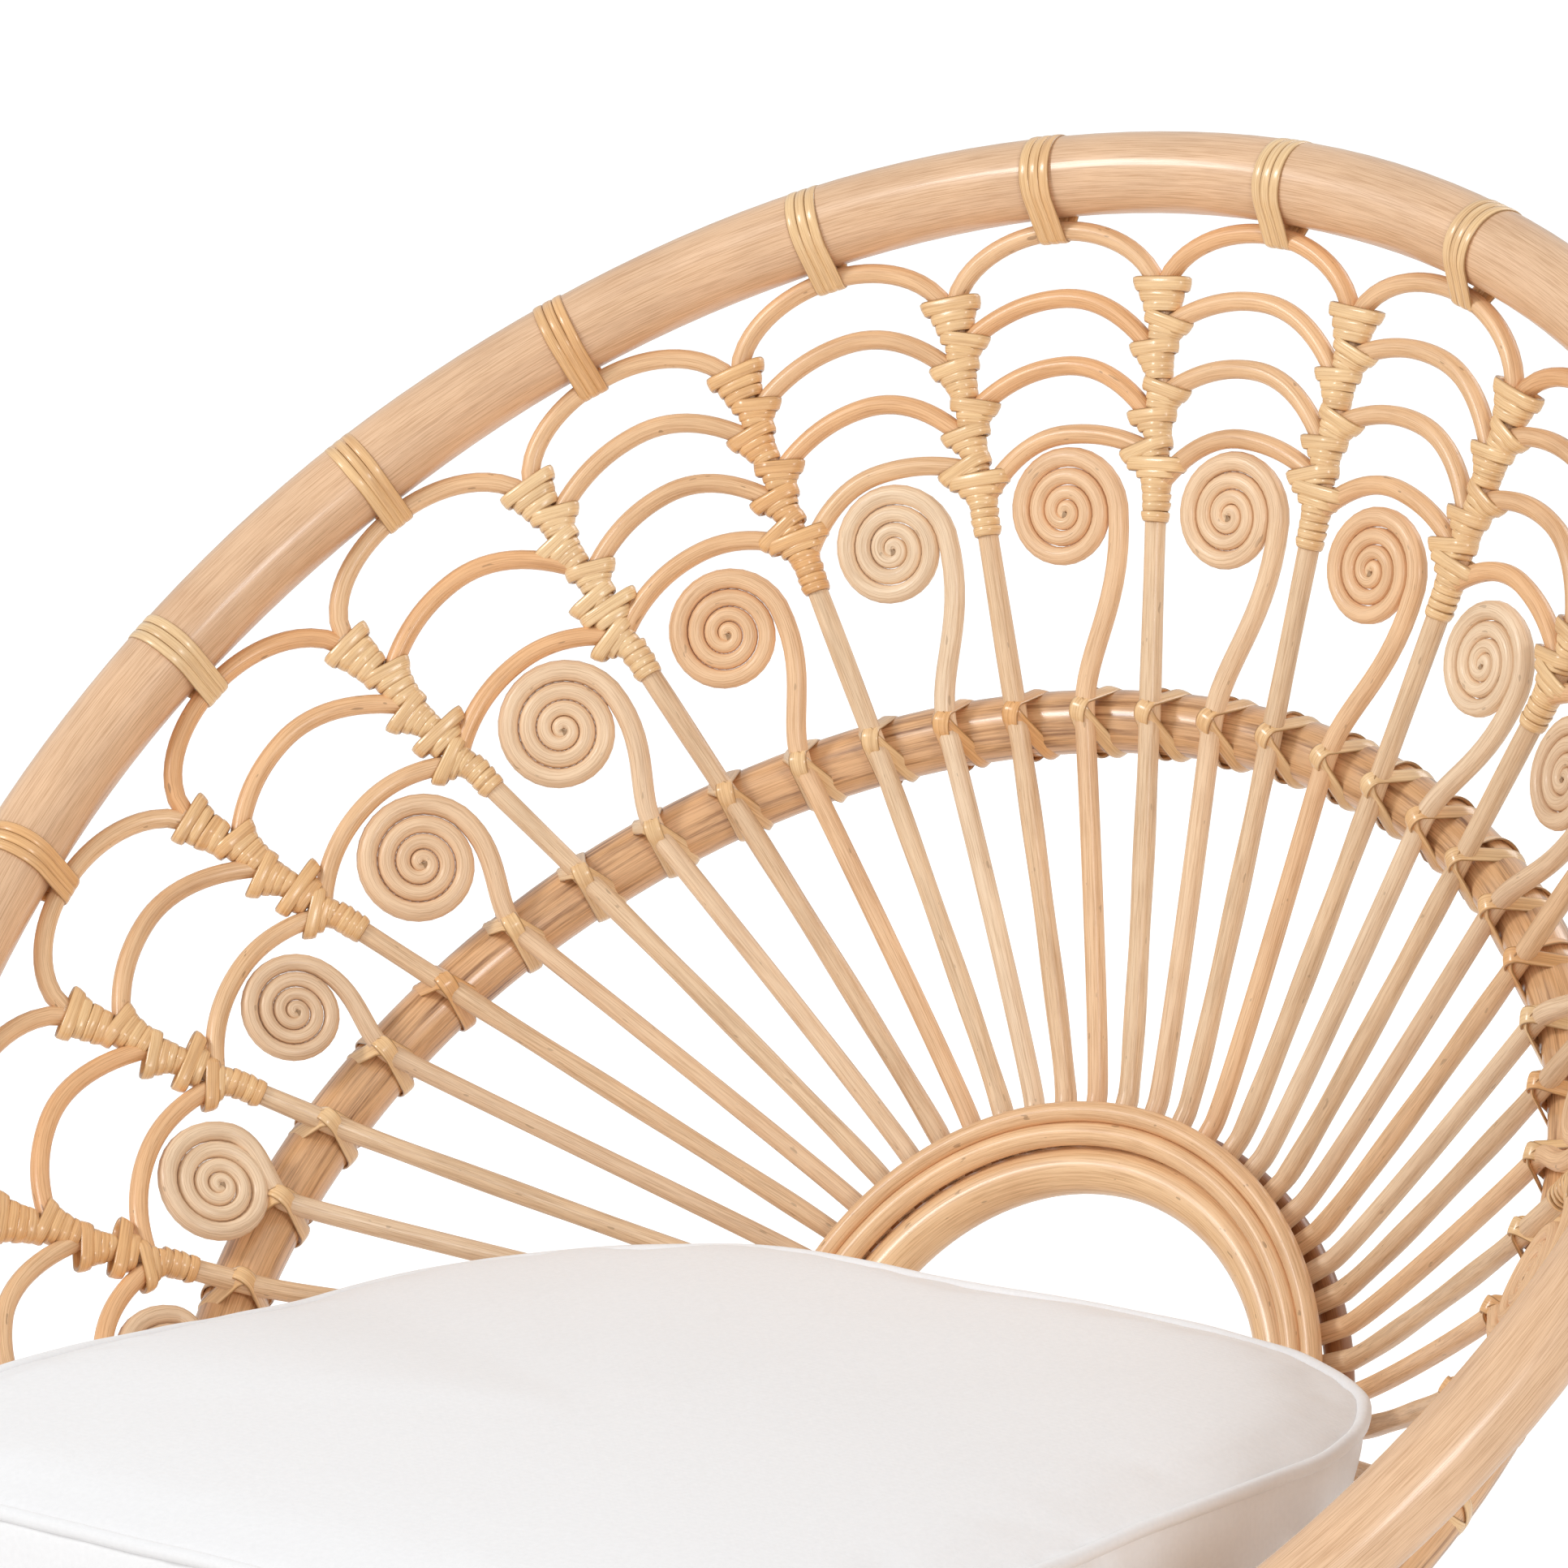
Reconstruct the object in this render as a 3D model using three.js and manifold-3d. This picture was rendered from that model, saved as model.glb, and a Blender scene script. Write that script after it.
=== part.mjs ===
// Rattan peacock chair with a loose seat cushion, in millimetres, +Z up, facing -Y. Every place is worked
// out from the centre of the hub arch, and the last lines stand the chair on the floor.
import * as THREE from "three";
import Module from "manifold-3d";

const wasm = await Module();
wasm.setup();

const { Vector3 } = THREE;
const degrees = THREE.MathUtils.degToRad;

// Clearances
const seatGap = 0.3;
const curlGap = 0.6;
const facetTolerance = 0.05;

// Outer rim: one thick pole that runs round the back, over both arms and down as the front legs
const rim = {
  radius: 17,
  halfWidth: 396,
  halfLength: 419,
  lean: degrees(49.2),
  centreY: -156,
  centreZ: 208,
  columnPitch: degrees(15.16),
  stepsPerColumn: 2,
  sides: 10,
};

// Inner ring: a thinner pole whose two ends stand on the seat frame
const ring = {
  radius: 13,
  halfWidth: 292,
  halfLength: 295,
  lean: degrees(52),
  centreY: -104.5,
  centreZ: 78.5,
  sides: 10,
};

// Hub arch: a thick pole, two thin canes in front of the spoke ends and one arch behind them
const hub = {
  radius: 110,
  poleRadius: 10,
  innerCaneRadius: 4.5,
  outerCaneRadius: 4,
  backArchRadius: 6,
  lean: degrees(31.4),
  sweep: degrees(135),
  steps: 16,
  poleSides: 8,
  caneSides: 6,
};

// The fan has a column of arches over every curl, counted from the middle column.
// Its spokes stand a little to the right of the columns, and wider apart on the ring towards the arms.
const lastColumn = 8;
const lastTallColumn = 3;
const spoke = {
  radius: 4.4,
  shift: degrees(1.3),
  hubPitch: degrees(6),
  ringPitch: degrees(6.13),
  ringSpread: degrees(0.0039),
  runOut: 6,
  rootHandle: 10,
  ringHandle: 25,
  sides: 6,
  bendSteps: 3,
};
const arch = {
  radius: 4,
  topDrops: { left: 31, right: 34 },
  middleDrops: { left: 15, right: 27 },
  lowestDrops: { left: 23, right: 10 },
  tallTiers: 4,
  tallPitch: 27.5,
  shortTiers: 3,
  shortPitch: 36,
  footAngle: degrees(10),
  sides: 4,
  steps: 6,
};
const binding = {
  topRadius: 10,
  topDepth: 22,
  waistRadius: 7,
  waistDepth: 33,
  wideRadius: 8,
  sideShift: 2.5,
  middleDepths: { upper: 11, lower: 20 },
  lowestDepths: { upper: 8, lower: 15 },
  cone: 9,
  collar: 9,
  collarRadius: 5.4,
  shoulder: 1,
  bandWidth: 14,
  bandThickness: 1.6,
  bandSides: 8,
};
const curl = {
  outerRadius: 23.5,
  sideRoom: 7,
  startRadius: 3.5,
  endRadius: 1.2,
  turns: 4,
  stepsPerTurn: 8,
  stemSteps: 4,
  sides: 4,
};

// Seat, legs and stretchers
const seatHeight = 430;
const frame = { radius: 14, depth: 452, rearCorner: 80, frontCorner: 60, cornerSteps: 6, sides: 8 };
const slat = { radius: 8, count: 5, sides: 8 };
const frontLeg = { splay: 10, bendReach: 42, bendSteps: 6 };
const rearLeg = { radius: 15, splay: 26, rake: 74, sides: 10 };
const stretcher = { radius: 10, height: 118, sideRise: 26, sides: 8 };
const glide = { radius: 11, height: 6, stemRadius: 4, stemHeight: 9, sides: 8 };

// Cushion: fits the dish of the back, so its rear corners are rounder and drawn in at the bottom
const cushion = {
  topAboveHub: 62,
  height: 100,
  crown: 11,
  hubClearance: 4,
  depth: 450,
  frontHalfWidth: 236,
  rearHalfWidth: 232,
  rearDrawIn: 47,
  rearReach: 34,
  topRearCorner: 130,
  bottomRearCorner: 150,
  frontCorner: 60,
  bottomTuck: 16,
  edgeRadius: 5,
  cornerSteps: 7,
};
const cushionSideShares = [
  { height: 0, tuck: 1 },
  { height: 0.1, tuck: 0.45 },
  { height: 0.28, tuck: 0.1 },
  { height: 0.55, tuck: -0.1 },
  { height: 0.88, tuck: 0 },
];
const cushionCrownShares = [
  { reach: 0.86, rise: 0.42 },
  { reach: 0.6, rise: 0.82 },
  { reach: 0.3, rise: 0.97 },
];

// Levels and places that follow from the sizes above, in the hub's frame
const hubHeight = seatHeight - cushion.topAboveHub;
const floorLevel = -hubHeight;
const frameTop = cushion.topAboveHub - cushion.height - seatGap;
const frameMid = frameTop - frame.radius;
const footLevel = frameTop + seatGap;
const frameRear = frameTop * Math.tan(hub.lean);
const frameFront = frameRear - frame.depth;
const ringEndAngle = Math.acos((footLevel - ring.centreZ) / (ring.halfLength * Math.cos(ring.lean)));
const frameHalfWidth = ring.halfWidth * Math.sin(ringEndAngle);
const legX = frameHalfWidth + frame.radius + rim.radius + seatGap;
const legY = frameFront + frame.frontCorner + rim.radius;
const hubOuterCane = hubCanePlaces();

// Materials
const materials = {
  pole: new THREE.MeshStandardMaterial({ color: 0xd4b08c, roughness: 0.45, metalness: 0 }),
  ring: new THREE.MeshStandardMaterial({ color: 0xc99c74, roughness: 0.5, metalness: 0 }),
  cane: new THREE.MeshStandardMaterial({ color: 0xdcbb96, roughness: 0.6, metalness: 0 }),
  lattice: new THREE.MeshStandardMaterial({ color: 0xe0b988, roughness: 0.5, metalness: 0 }),
  glide: new THREE.MeshStandardMaterial({ color: 0x4a4642, roughness: 0.7, metalness: 0 }),
  fabric: new THREE.MeshStandardMaterial({ color: 0xebe8e4, roughness: 0.9, metalness: 0 }),
};

// Lofts a closed solid through rings of points that all have the same count
function loft(rings, closed = false) {
  const count = rings[0].length;
  const spans = closed ? rings.length : rings.length - 1;
  const index = [];
  for (let i = 0; i < spans; i += 1) {
    const here = i * count;
    const next = ((i + 1) % rings.length) * count;
    for (let j = 0; j < count; j += 1) {
      const k = (j + 1) % count;
      index.push(here + j, here + k, next + k, here + j, next + k, next + j);
    }
  }
  const last = (rings.length - 1) * count;
  for (let j = 1; j < count - 1 && !closed; j += 1) {
    index.push(0, j + 1, j, last, last + j, last + j + 1);
  }
  const geometry = new THREE.BufferGeometry().setFromPoints(rings.flat());
  geometry.setIndex(index);
  return geometry;
}

// Sweeps a round section of one or more radii along a path, with its first corner turned to the given side
function tubeRings(path, radius, sides, side, closed = false) {
  const radii = Array.isArray(radius) ? radius : path.map(() => radius);
  const count = path.length;
  let normal = side.clone();
  return path.map((centre, i) => {
    const before = closed ? path[(i + count - 1) % count] : path[Math.max(i - 1, 0)];
    const after = closed ? path[(i + 1) % count] : path[Math.min(i + 1, count - 1)];
    const coming = centre.clone().sub(before).normalize();
    const going = after.clone().sub(centre).normalize();
    const tangent = coming.add(going).normalize();
    normal = normal.clone().addScaledVector(tangent, -normal.dot(tangent)).normalize();
    const across = tangent.clone().cross(normal);
    return Array.from({ length: sides }, (_, j) => {
      const angle = (2 * Math.PI * j) / sides;
      const point = centre.clone().addScaledVector(normal, radii[i] * Math.cos(angle));
      return point.addScaledVector(across, radii[i] * Math.sin(angle));
    });
  });
}

function tube(path, radius, sides, side, closed = false) {
  return loft(tubeRings(path, radius, sides, side, closed), closed);
}

function bezier(from, fromHandle, toHandle, to, steps) {
  return new THREE.CubicBezierCurve3(from, fromHandle, toHandle, to).getPoints(steps);
}

// Exchanges between three.js geometry and solids that can be joined and cut
function solidOf(geometry) {
  const vertProperties = new Float32Array(geometry.attributes.position.array);
  const triVerts = new Uint32Array(geometry.index.array);
  return new wasm.Manifold(new wasm.Mesh({ numProp: 3, vertProperties, triVerts }));
}

function geometryOf(solid) {
  const mesh = solid.asOriginal().simplify(facetTolerance).getMesh();
  const geometry = new THREE.BufferGeometry();
  geometry.setAttribute("position", new THREE.BufferAttribute(mesh.vertProperties, mesh.numProp));
  geometry.setIndex(new THREE.BufferAttribute(mesh.triVerts, 1));
  return geometry;
}

function above(solid, level) {
  return solid.trimByPlane([0, 0, 1], level);
}

// A cylinder solid whose flats, not its corners, lie at the given radius
function cylinderWithFlats(radius, height, sides) {
  const cornerRadius = radius / Math.cos(Math.PI / sides);
  return wasm.Manifold.cylinder(height, cornerRadius, cornerRadius, sides, true);
}

function placedAlong(solid, centre, axis, side) {
  const sideways = axis.clone().cross(side).normalize();
  const outward = sideways.clone().cross(axis).normalize();
  const matrix = new THREE.Matrix4().makeBasis(outward, sideways, axis).setPosition(centre);
  return solid.transform(matrix.elements);
}

// A point of a leaning hoop: the angle counts from its top, and forward is off its plane towards the sitter
function hoopPoint(hoop, angle, forward = 0) {
  const along = hoop.halfLength * Math.cos(angle);
  return new Vector3(
    hoop.halfWidth * Math.sin(angle),
    hoop.centreY + along * Math.sin(hoop.lean) - forward * Math.cos(hoop.lean),
    hoop.centreZ + along * Math.cos(hoop.lean) + forward * Math.sin(hoop.lean),
  );
}

function hoopNormal(hoop) {
  return new Vector3(0, -Math.cos(hoop.lean), Math.sin(hoop.lean));
}

function hubHoop(radius) {
  return { halfWidth: radius, halfLength: radius, lean: hub.lean, centreY: 0, centreZ: 0 };
}

// The thin hub canes lie in front of the spokes, each nestled against its neighbour
function hubCanePlaces() {
  const innerForward = spoke.radius + hub.innerCaneRadius + seatGap;
  const outerForward = spoke.radius + hub.outerCaneRadius + seatGap;
  const innerReach = hub.poleRadius + hub.innerCaneRadius + seatGap;
  const outerReach = hub.innerCaneRadius + hub.outerCaneRadius + seatGap;
  const inner = hub.radius + Math.sqrt(innerReach ** 2 - innerForward ** 2);
  const outer = inner + Math.sqrt(outerReach ** 2 - (innerForward - outerForward) ** 2);
  const backForward = -(spoke.radius + hub.backArchRadius + seatGap);
  return { inner, innerForward, outer, outerForward, backForward };
}

// Middle of the straight run of a faceted hoop between two angles, and the run's direction
function hoopSeat(hoop, fromAngle, toAngle) {
  const from = hoopPoint(hoop, fromAngle);
  const to = hoopPoint(hoop, toAngle);
  const direction = to.clone().sub(from).normalize();
  return { centre: from.add(to).multiplyScalar(1 / 2), direction };
}

// Angle on the ring of a spoke, counted in half columns from the middle one
function ringAngle(halfColumns) {
  return spoke.shift + spoke.ringPitch * halfColumns + spoke.ringSpread * halfColumns ** 3;
}

const rimStep = rim.columnPitch / rim.stepsPerColumn;
const fanLines = new Map();

// The line of the fan at a column, or at a valley halfway between two columns: from its ring crossing to
// the rim
function fanLine(column) {
  if (fanLines.has(column)) {
    return fanLines.get(column);
  }
  const hubAngle = spoke.shift + 2 * column * spoke.hubPitch;
  const ringSeat = hoopSeat(ring, ringAngle(2 * column - 1 / 2), ringAngle(2 * column + 1 / 2));
  const rimAngle = column * rim.columnPitch;
  const rimSeat = hoopSeat(rim, rimAngle - rimStep / 2, rimAngle + rimStep / 2);
  const startRadius = hub.radius + hub.poleRadius + seatGap;
  const clearRadius = hubOuterCane.outer + hub.outerCaneRadius + spoke.runOut;
  const root = hoopPoint(hubHoop(startRadius), hubAngle);
  const clear = hoopPoint(hubHoop(clearRadius), hubAngle);
  const coming = ringSeat.centre.clone().sub(clear).normalize();
  const going = rimSeat.centre.clone().sub(ringSeat.centre).normalize();
  const mean = coming.clone().add(going).normalize();
  const normal = ringSeat.direction.clone().cross(mean).normalize();
  const offset = ring.radius + spoke.radius + seatGap;
  const crossing = ringSeat.centre.clone().addScaledVector(normal, offset);
  const toRim = rimSeat.centre.clone().sub(crossing);
  const reach = toRim.length();
  const direction = toRim.normalize();
  const slant = direction.clone().cross(rimSeat.direction).length();
  const length = reach - (rim.radius + arch.radius + seatGap) / slant;
  const right = direction.clone().cross(normal).normalize();
  const line = { root, clear, crossing, normal, right, length, direction, rimSeat };
  fanLines.set(column, line);
  return line;
}

// A point of the fan at a depth below the line where the outermost arches touch the rim
function fanPoint(column, depth) {
  const line = fanLine(column);
  return line.crossing.clone().addScaledVector(line.direction, line.length - depth);
}

function tiersAt(column) {
  const tall = Math.floor(Math.abs(column)) <= lastTallColumn;
  return {
    count: tall ? arch.tallTiers : arch.shortTiers,
    pitch: tall ? arch.tallPitch : arch.shortPitch,
  };
}

// Stations of a spoke from the hub to the ring: straight past the hub canes, with a short bend at the ring
function spokeRoot(column) {
  const line = fanLine(column);
  const outward = line.clear.clone().sub(line.root).normalize();
  const bend = bezier(
    line.clear,
    line.clear.clone().addScaledVector(outward, spoke.rootHandle),
    line.crossing.clone().addScaledVector(line.direction, -spoke.ringHandle),
    line.crossing,
    spoke.bendSteps,
  );
  return [line.root, ...bend];
}

// Widths of the bindings down a valley. Each row of arches makes one bulge to the right, where the arch of
// the right-hand column springs, and one to the left. In the lowest row the left one comes first.
function bindingStations(valley) {
  const { count, pitch } = tiersAt(valley);
  const { wideRadius, sideShift, collarRadius } = binding;
  const stations = [
    { depth: binding.topDepth, shift: 0, radius: binding.topRadius },
    { depth: binding.waistDepth, shift: 0, radius: binding.waistRadius },
  ];
  for (let tier = 1; tier < count; tier += 1) {
    const lowest = tier === count - 1;
    const { upper, lower } = lowest ? binding.lowestDepths : binding.middleDepths;
    const shift = lowest ? -sideShift : sideShift;
    stations.push({ depth: tier * pitch + upper, shift, radius: wideRadius });
    stations.push({ depth: tier * pitch + lower, shift: -shift, radius: wideRadius });
  }
  const collarTop = stations[stations.length - 1].depth + binding.cone;
  stations.push({ depth: collarTop, shift: 0, radius: collarRadius });
  stations.push({ depth: collarTop + binding.collar, shift: 0, radius: collarRadius });
  return stations;
}

// A straight spoke that ends in a valley, with the bindings round the arch feet there
function boundSpoke(valley, clearance = 0) {
  const line = fanLine(valley);
  const path = spokeRoot(valley);
  const radii = path.map(() => spoke.radius + clearance);
  const stations = bindingStations(valley).reverse();
  const stop = stations[0].depth + binding.shoulder;
  path.push(fanPoint(valley, stop + clearance));
  radii.push(spoke.radius + clearance);
  for (const { depth, shift, radius } of stations) {
    const end = depth === binding.topDepth ? clearance : 0;
    path.push(fanPoint(valley, depth - end).addScaledVector(line.right, shift));
    radii.push(radius + clearance);
  }
  return tube(path, radii, spoke.sides, line.normal);
}

// An arch runs from its left foot to its right one. The top arch is half an ellipse and the others are
// flatter.
function archPath(column, tier) {
  const { count, pitch } = tiersAt(column);
  const lowerDrops = tier === count - 1 ? arch.lowestDrops : arch.middleDrops;
  return Array.from({ length: arch.steps + 1 }, (_, i) => {
    const angle = arch.footAngle + (i / arch.steps) * (Math.PI - 2 * arch.footAngle);
    const across = -Math.cos(angle);
    const drops = tier === 0 ? arch.topDrops : lowerDrops;
    const fall = tier === 0 ? 1 - Math.sin(angle) : across ** 2;
    const drop = fall * (across > 0 ? drops.right : drops.left);
    return fanPoint(column + across / 2, tier * pitch + drop);
  });
}

function archSolids(column, clearance = 0) {
  return Array.from({ length: tiersAt(column).count }, (_, tier) => {
    const path = archPath(column, tier);
    path[0].add(path[0].clone().sub(path[1]).setLength(clearance));
    return solidOf(tube(path, arch.radius + clearance, arch.sides, fanLine(column).normal));
  });
}

function distanceToPath(point, path) {
  const nearest = new Vector3();
  return path.slice(1).reduce((least, end, i) => {
    new THREE.Line3(path[i], end).closestPointToPoint(point, true, nearest);
    return Math.min(least, point.distanceTo(nearest));
  }, Infinity);
}

// The flat band of peel that ties the outermost arch of a column to the rim
function rimBand(column) {
  const { rimSeat, direction } = fanLine(column);
  const apex = fanPoint(column, 0);
  const offset = apex.clone().sub(rimSeat.centre);
  apex.addScaledVector(rimSeat.direction, -offset.dot(rimSeat.direction));
  const inner = rim.radius + seatGap;
  const outer = inner + binding.bandThickness;
  const round = placedAlong(
    cylinderWithFlats(outer, binding.bandWidth, binding.bandSides),
    rimSeat.centre,
    rimSeat.direction,
    direction,
  );
  const root = placedAlong(
    cylinderWithFlats(arch.radius + binding.bandThickness / 2, binding.bandWidth, binding.bandSides / 2),
    apex,
    rimSeat.direction,
    direction,
  );
  const bore = placedAlong(
    cylinderWithFlats(inner, 2 * binding.bandWidth, binding.bandSides),
    rimSeat.centre,
    rimSeat.direction,
    direction,
  );
  return wasm.Manifold.hull([round, root]).subtract(bore);
}

// A bound spoke with the arches that spring from its right side, coped where they meet the next stave
function latticeStave(column) {
  const nextArches = column < lastColumn ? archSolids(column + 1, seatGap) : [];
  const nextStave = wasm.Manifold.union([solidOf(boundSpoke(column + 1 / 2, seatGap)), ...nextArches]);
  const canes = wasm.Manifold.union(archSolids(column)).subtract(nextStave);
  const stave = solidOf(boundSpoke(column - 1 / 2));
  return geometryOf(keepLargest(wasm.Manifold.union([stave, canes, rimBand(column)])));
}

// A cope can leave a crumb of cane beyond the cut, so only the piece itself is kept
function keepLargest(solid) {
  const bodies = solid.decompose();
  return bodies.reduce((best, body) => (body.volume() > best.volume() ? body : best));
}

// A spoke that leans to the right above the ring and rolls up into a flat curl under the lowest arch. The
// curls near the arms are a little smaller, because the columns are narrower there. The cane is swept from
// the middle of its curl, so that its section keeps square to the fan where it meets the ring.
function curlSpoke(column) {
  const line = fanLine(column);
  const tiers = tiersAt(column);
  const lowestArch = archPath(column, tiers.count - 1);
  let depth = (tiers.count - 1) * tiers.pitch + curl.outerRadius;
  const room = [column - 1 / 2, column + 1 / 2].map((valley) => {
    const fromValley = fanPoint(column, depth).sub(fanLine(valley).crossing);
    return fromValley.cross(fanLine(valley).direction).length() - curl.sideRoom;
  });
  const scale = Math.min(1, Math.min(...room) / curl.outerRadius);
  const outerRadius = scale * curl.outerRadius;
  const topRadius = outerRadius - (scale * (2 * curl.startRadius + curlGap)) / 4;
  for (let tries = 0; tries < curl.stepsPerTurn; tries += 1) {
    depth += topRadius + arch.radius + curlGap - distanceToPath(fanPoint(column, depth), lowestArch);
  }
  const centre = fanPoint(column, depth);
  const up = line.direction;
  const { right } = line;
  const side = right.clone().cross(up).normalize();
  const path = spokeRoot(column);
  const radii = path.map(() => spoke.radius);
  const place = (radius, angle) =>
    centre
      .clone()
      .addScaledVector(right, radius * Math.cos(angle))
      .addScaledVector(up, radius * Math.sin(angle));
  const rise = line.length - depth;
  const startRadius = scale * curl.startRadius;
  const entry = place(outerRadius - startRadius, 0);
  const stem = bezier(
    line.crossing,
    line.crossing.clone().addScaledVector(up, rise / 3),
    entry.clone().addScaledVector(up, -rise / 2),
    entry,
    curl.stemSteps,
  );
  for (let i = 1; i <= curl.stemSteps; i += 1) {
    path.push(stem[i]);
    radii.push(spoke.radius + ((startRadius - spoke.radius) * i) / curl.stemSteps);
  }
  const steps = curl.turns * curl.stepsPerTurn;
  let reach = outerRadius - startRadius;
  for (let i = 1; i <= steps; i += 1) {
    const left = 1 - i / steps;
    const radius = scale * (curl.endRadius + (curl.startRadius - curl.endRadius) * left * left);
    reach -= (2 * radius + scale * curlGap) / curl.stepsPerTurn;
    path.push(place(Math.max(reach, radius), (2 * Math.PI * i) / curl.stepsPerTurn));
    radii.push(radius);
  }
  return { rings: tubeRings(path.reverse(), radii.reverse(), curl.sides, side), last: steps };
}

// Least gap between the turns of a curl, measured from the points of each ring to those half a turn or
// more further out
function leastGap(rings, last) {
  let least = Infinity;
  for (let i = 0; i <= last; i += 1) {
    for (let k = i + Math.ceil(curl.stepsPerTurn / 2) + 1; k <= last; k += 1) {
      for (const point of rings[i]) {
        for (const other of rings[k]) {
          least = Math.min(least, point.distanceTo(other));
        }
      }
    }
  }
  return least;
}

// The rim pole: front leg, arm, back, arm and front leg in one run
function rimHalfPath() {
  const last = lastColumn * rim.stepsPerColumn + 1;
  const arc = [];
  for (let i = 0; i <= last; i += 1) {
    arc.push(hoopPoint(rim, (i + 1 / 2) * rimStep));
  }
  const end = arc[last];
  const arriving = end.clone().sub(hoopPoint(rim, (last + 1 / 2) * rimStep - rimStep / 8)).normalize();
  const top = new Vector3(legX, legY, frameMid);
  const down = frontFoot().sub(top).normalize();
  const bend = bezier(
    end,
    end.clone().addScaledVector(arriving, frontLeg.bendReach),
    top.clone().addScaledVector(down, -frontLeg.bendReach),
    top,
    frontLeg.bendSteps,
  );
  const below = frontFoot().addScaledVector(down, rim.radius);
  return [...arc, ...bend.slice(1), below];
}

function frontFoot() {
  return new Vector3(legX + frontLeg.splay, legY - frontLeg.splay, floorLevel);
}

function mirrored(point) {
  return new Vector3(-point.x, point.y, point.z);
}

function footPlace(axis, side) {
  const share = (floorLevel + glide.height - axis[0].z) / (axis[1].z - axis[0].z);
  const place = axis[0].clone().lerp(axis[1], share);
  return side < 0 ? mirrored(place) : place;
}

function glideSocket(place) {
  const depth = 2 * (glide.stemHeight + seatGap);
  const radius = glide.stemRadius + seatGap;
  const socket = wasm.Manifold.cylinder(depth, radius, radius, glide.sides, true);
  return socket.translate([place.x, place.y, place.z + seatGap]);
}

const frontAxis = [new Vector3(legX, legY, frameMid), frontFoot()];
const rearTop = rearCornerMiddle();
const rearAxis = [rearTop, new Vector3(rearTop.x + rearLeg.splay, rearTop.y + rearLeg.rake, floorLevel)];
const legBottom = floorLevel + glide.height + seatGap;

function rimGeometry() {
  const half = rimHalfPath();
  const path = [...half.map(mirrored).reverse(), ...half];
  const pole = above(solidOf(tube(path, rim.radius, rim.sides, new Vector3(-1, 0, 0))), legBottom);
  const rightSocket = glideSocket(footPlace(frontAxis, 1));
  const leftSocket = glideSocket(footPlace(frontAxis, -1));
  return geometryOf(pole.subtract(rightSocket).subtract(leftSocket));
}

function ringGeometry() {
  const last = 2 * (lastColumn + 1);
  const path = [];
  for (let i = -last; i <= last + 1; i += 1) {
    path.push(hoopPoint(ring, ringAngle(i - 1 / 2)));
  }
  return geometryOf(above(solidOf(tube(path, ring.radius, ring.sides, hoopNormal(ring))), footLevel));
}

function hubArc(radius, thickness, forward, sides) {
  const path = [];
  for (let i = 0; i <= hub.steps; i += 1) {
    path.push(hoopPoint(hubHoop(radius), hub.sweep * ((2 * i) / hub.steps - 1), forward));
  }
  return geometryOf(above(solidOf(tube(path, thickness, sides, hoopNormal(hub))), footLevel));
}

// The seat frame: a closed hoop with wide rear corners and tighter front ones
function cornerArc(x, y, radius, from, steps) {
  return Array.from({ length: steps + 1 }, (_, i) => {
    const angle = from + ((Math.PI / 2) * i) / steps;
    return new Vector3(x + radius * Math.cos(angle), y + radius * Math.sin(angle), frameMid);
  });
}

function framePath() {
  const rearX = frameHalfWidth - frame.rearCorner;
  const frontX = frameHalfWidth - frame.frontCorner;
  const rearY = frameRear - frame.rearCorner;
  const frontY = frameFront + frame.frontCorner;
  return [
    ...cornerArc(rearX, rearY, frame.rearCorner, 0, frame.cornerSteps),
    ...cornerArc(-rearX, rearY, frame.rearCorner, Math.PI / 2, frame.cornerSteps),
    ...cornerArc(-frontX, frontY, frame.frontCorner, Math.PI, frame.cornerSteps),
    ...cornerArc(frontX, frontY, frame.frontCorner, (3 * Math.PI) / 2, frame.cornerSteps),
  ];
}

function rearCornerMiddle() {
  const inset = frame.rearCorner * (1 - Math.SQRT1_2);
  return new Vector3(frameHalfWidth - inset, frameRear - inset, frameMid);
}

const upward = new Vector3(0, 0, 1);
const frameSolid = solidOf(tube(framePath(), frame.radius, frame.sides, upward, true));
const frameClearance = solidOf(tube(framePath(), frame.radius + seatGap, frame.sides, upward, true));

function slatGeometry(number) {
  const y = frameRear - (frame.depth * number) / (slat.count + 1);
  const z = frameTop - slat.radius;
  const path = [new Vector3(-frameHalfWidth, y, z), new Vector3(frameHalfWidth, y, z)];
  const rail = solidOf(tube(path, slat.radius, slat.sides, upward));
  return geometryOf(keepLargest(rail.subtract(frameClearance)));
}

// A leg as a straight pole on its axis, with an end coped to the rail above
function rearLegGeometry(side) {
  const axis = side < 0 ? rearAxis.map(mirrored) : rearAxis;
  const down = axis[1].clone().sub(axis[0]).normalize();
  const top = axis[0].clone().addScaledVector(down, frame.radius / 2);
  const below = axis[1].clone().addScaledVector(down, rearLeg.radius);
  const pole = solidOf(tube([top, below], rearLeg.radius, rearLeg.sides, new Vector3(1, 0, 0)));
  const socket = glideSocket(footPlace(rearAxis, side));
  return geometryOf(keepLargest(above(pole, legBottom).subtract(frameClearance).subtract(socket)));
}

function axisPoint(axis, height) {
  const share = (floorLevel + height - axis[0].z) / (axis[1].z - axis[0].z);
  return axis[0].clone().lerp(axis[1], share);
}

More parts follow.
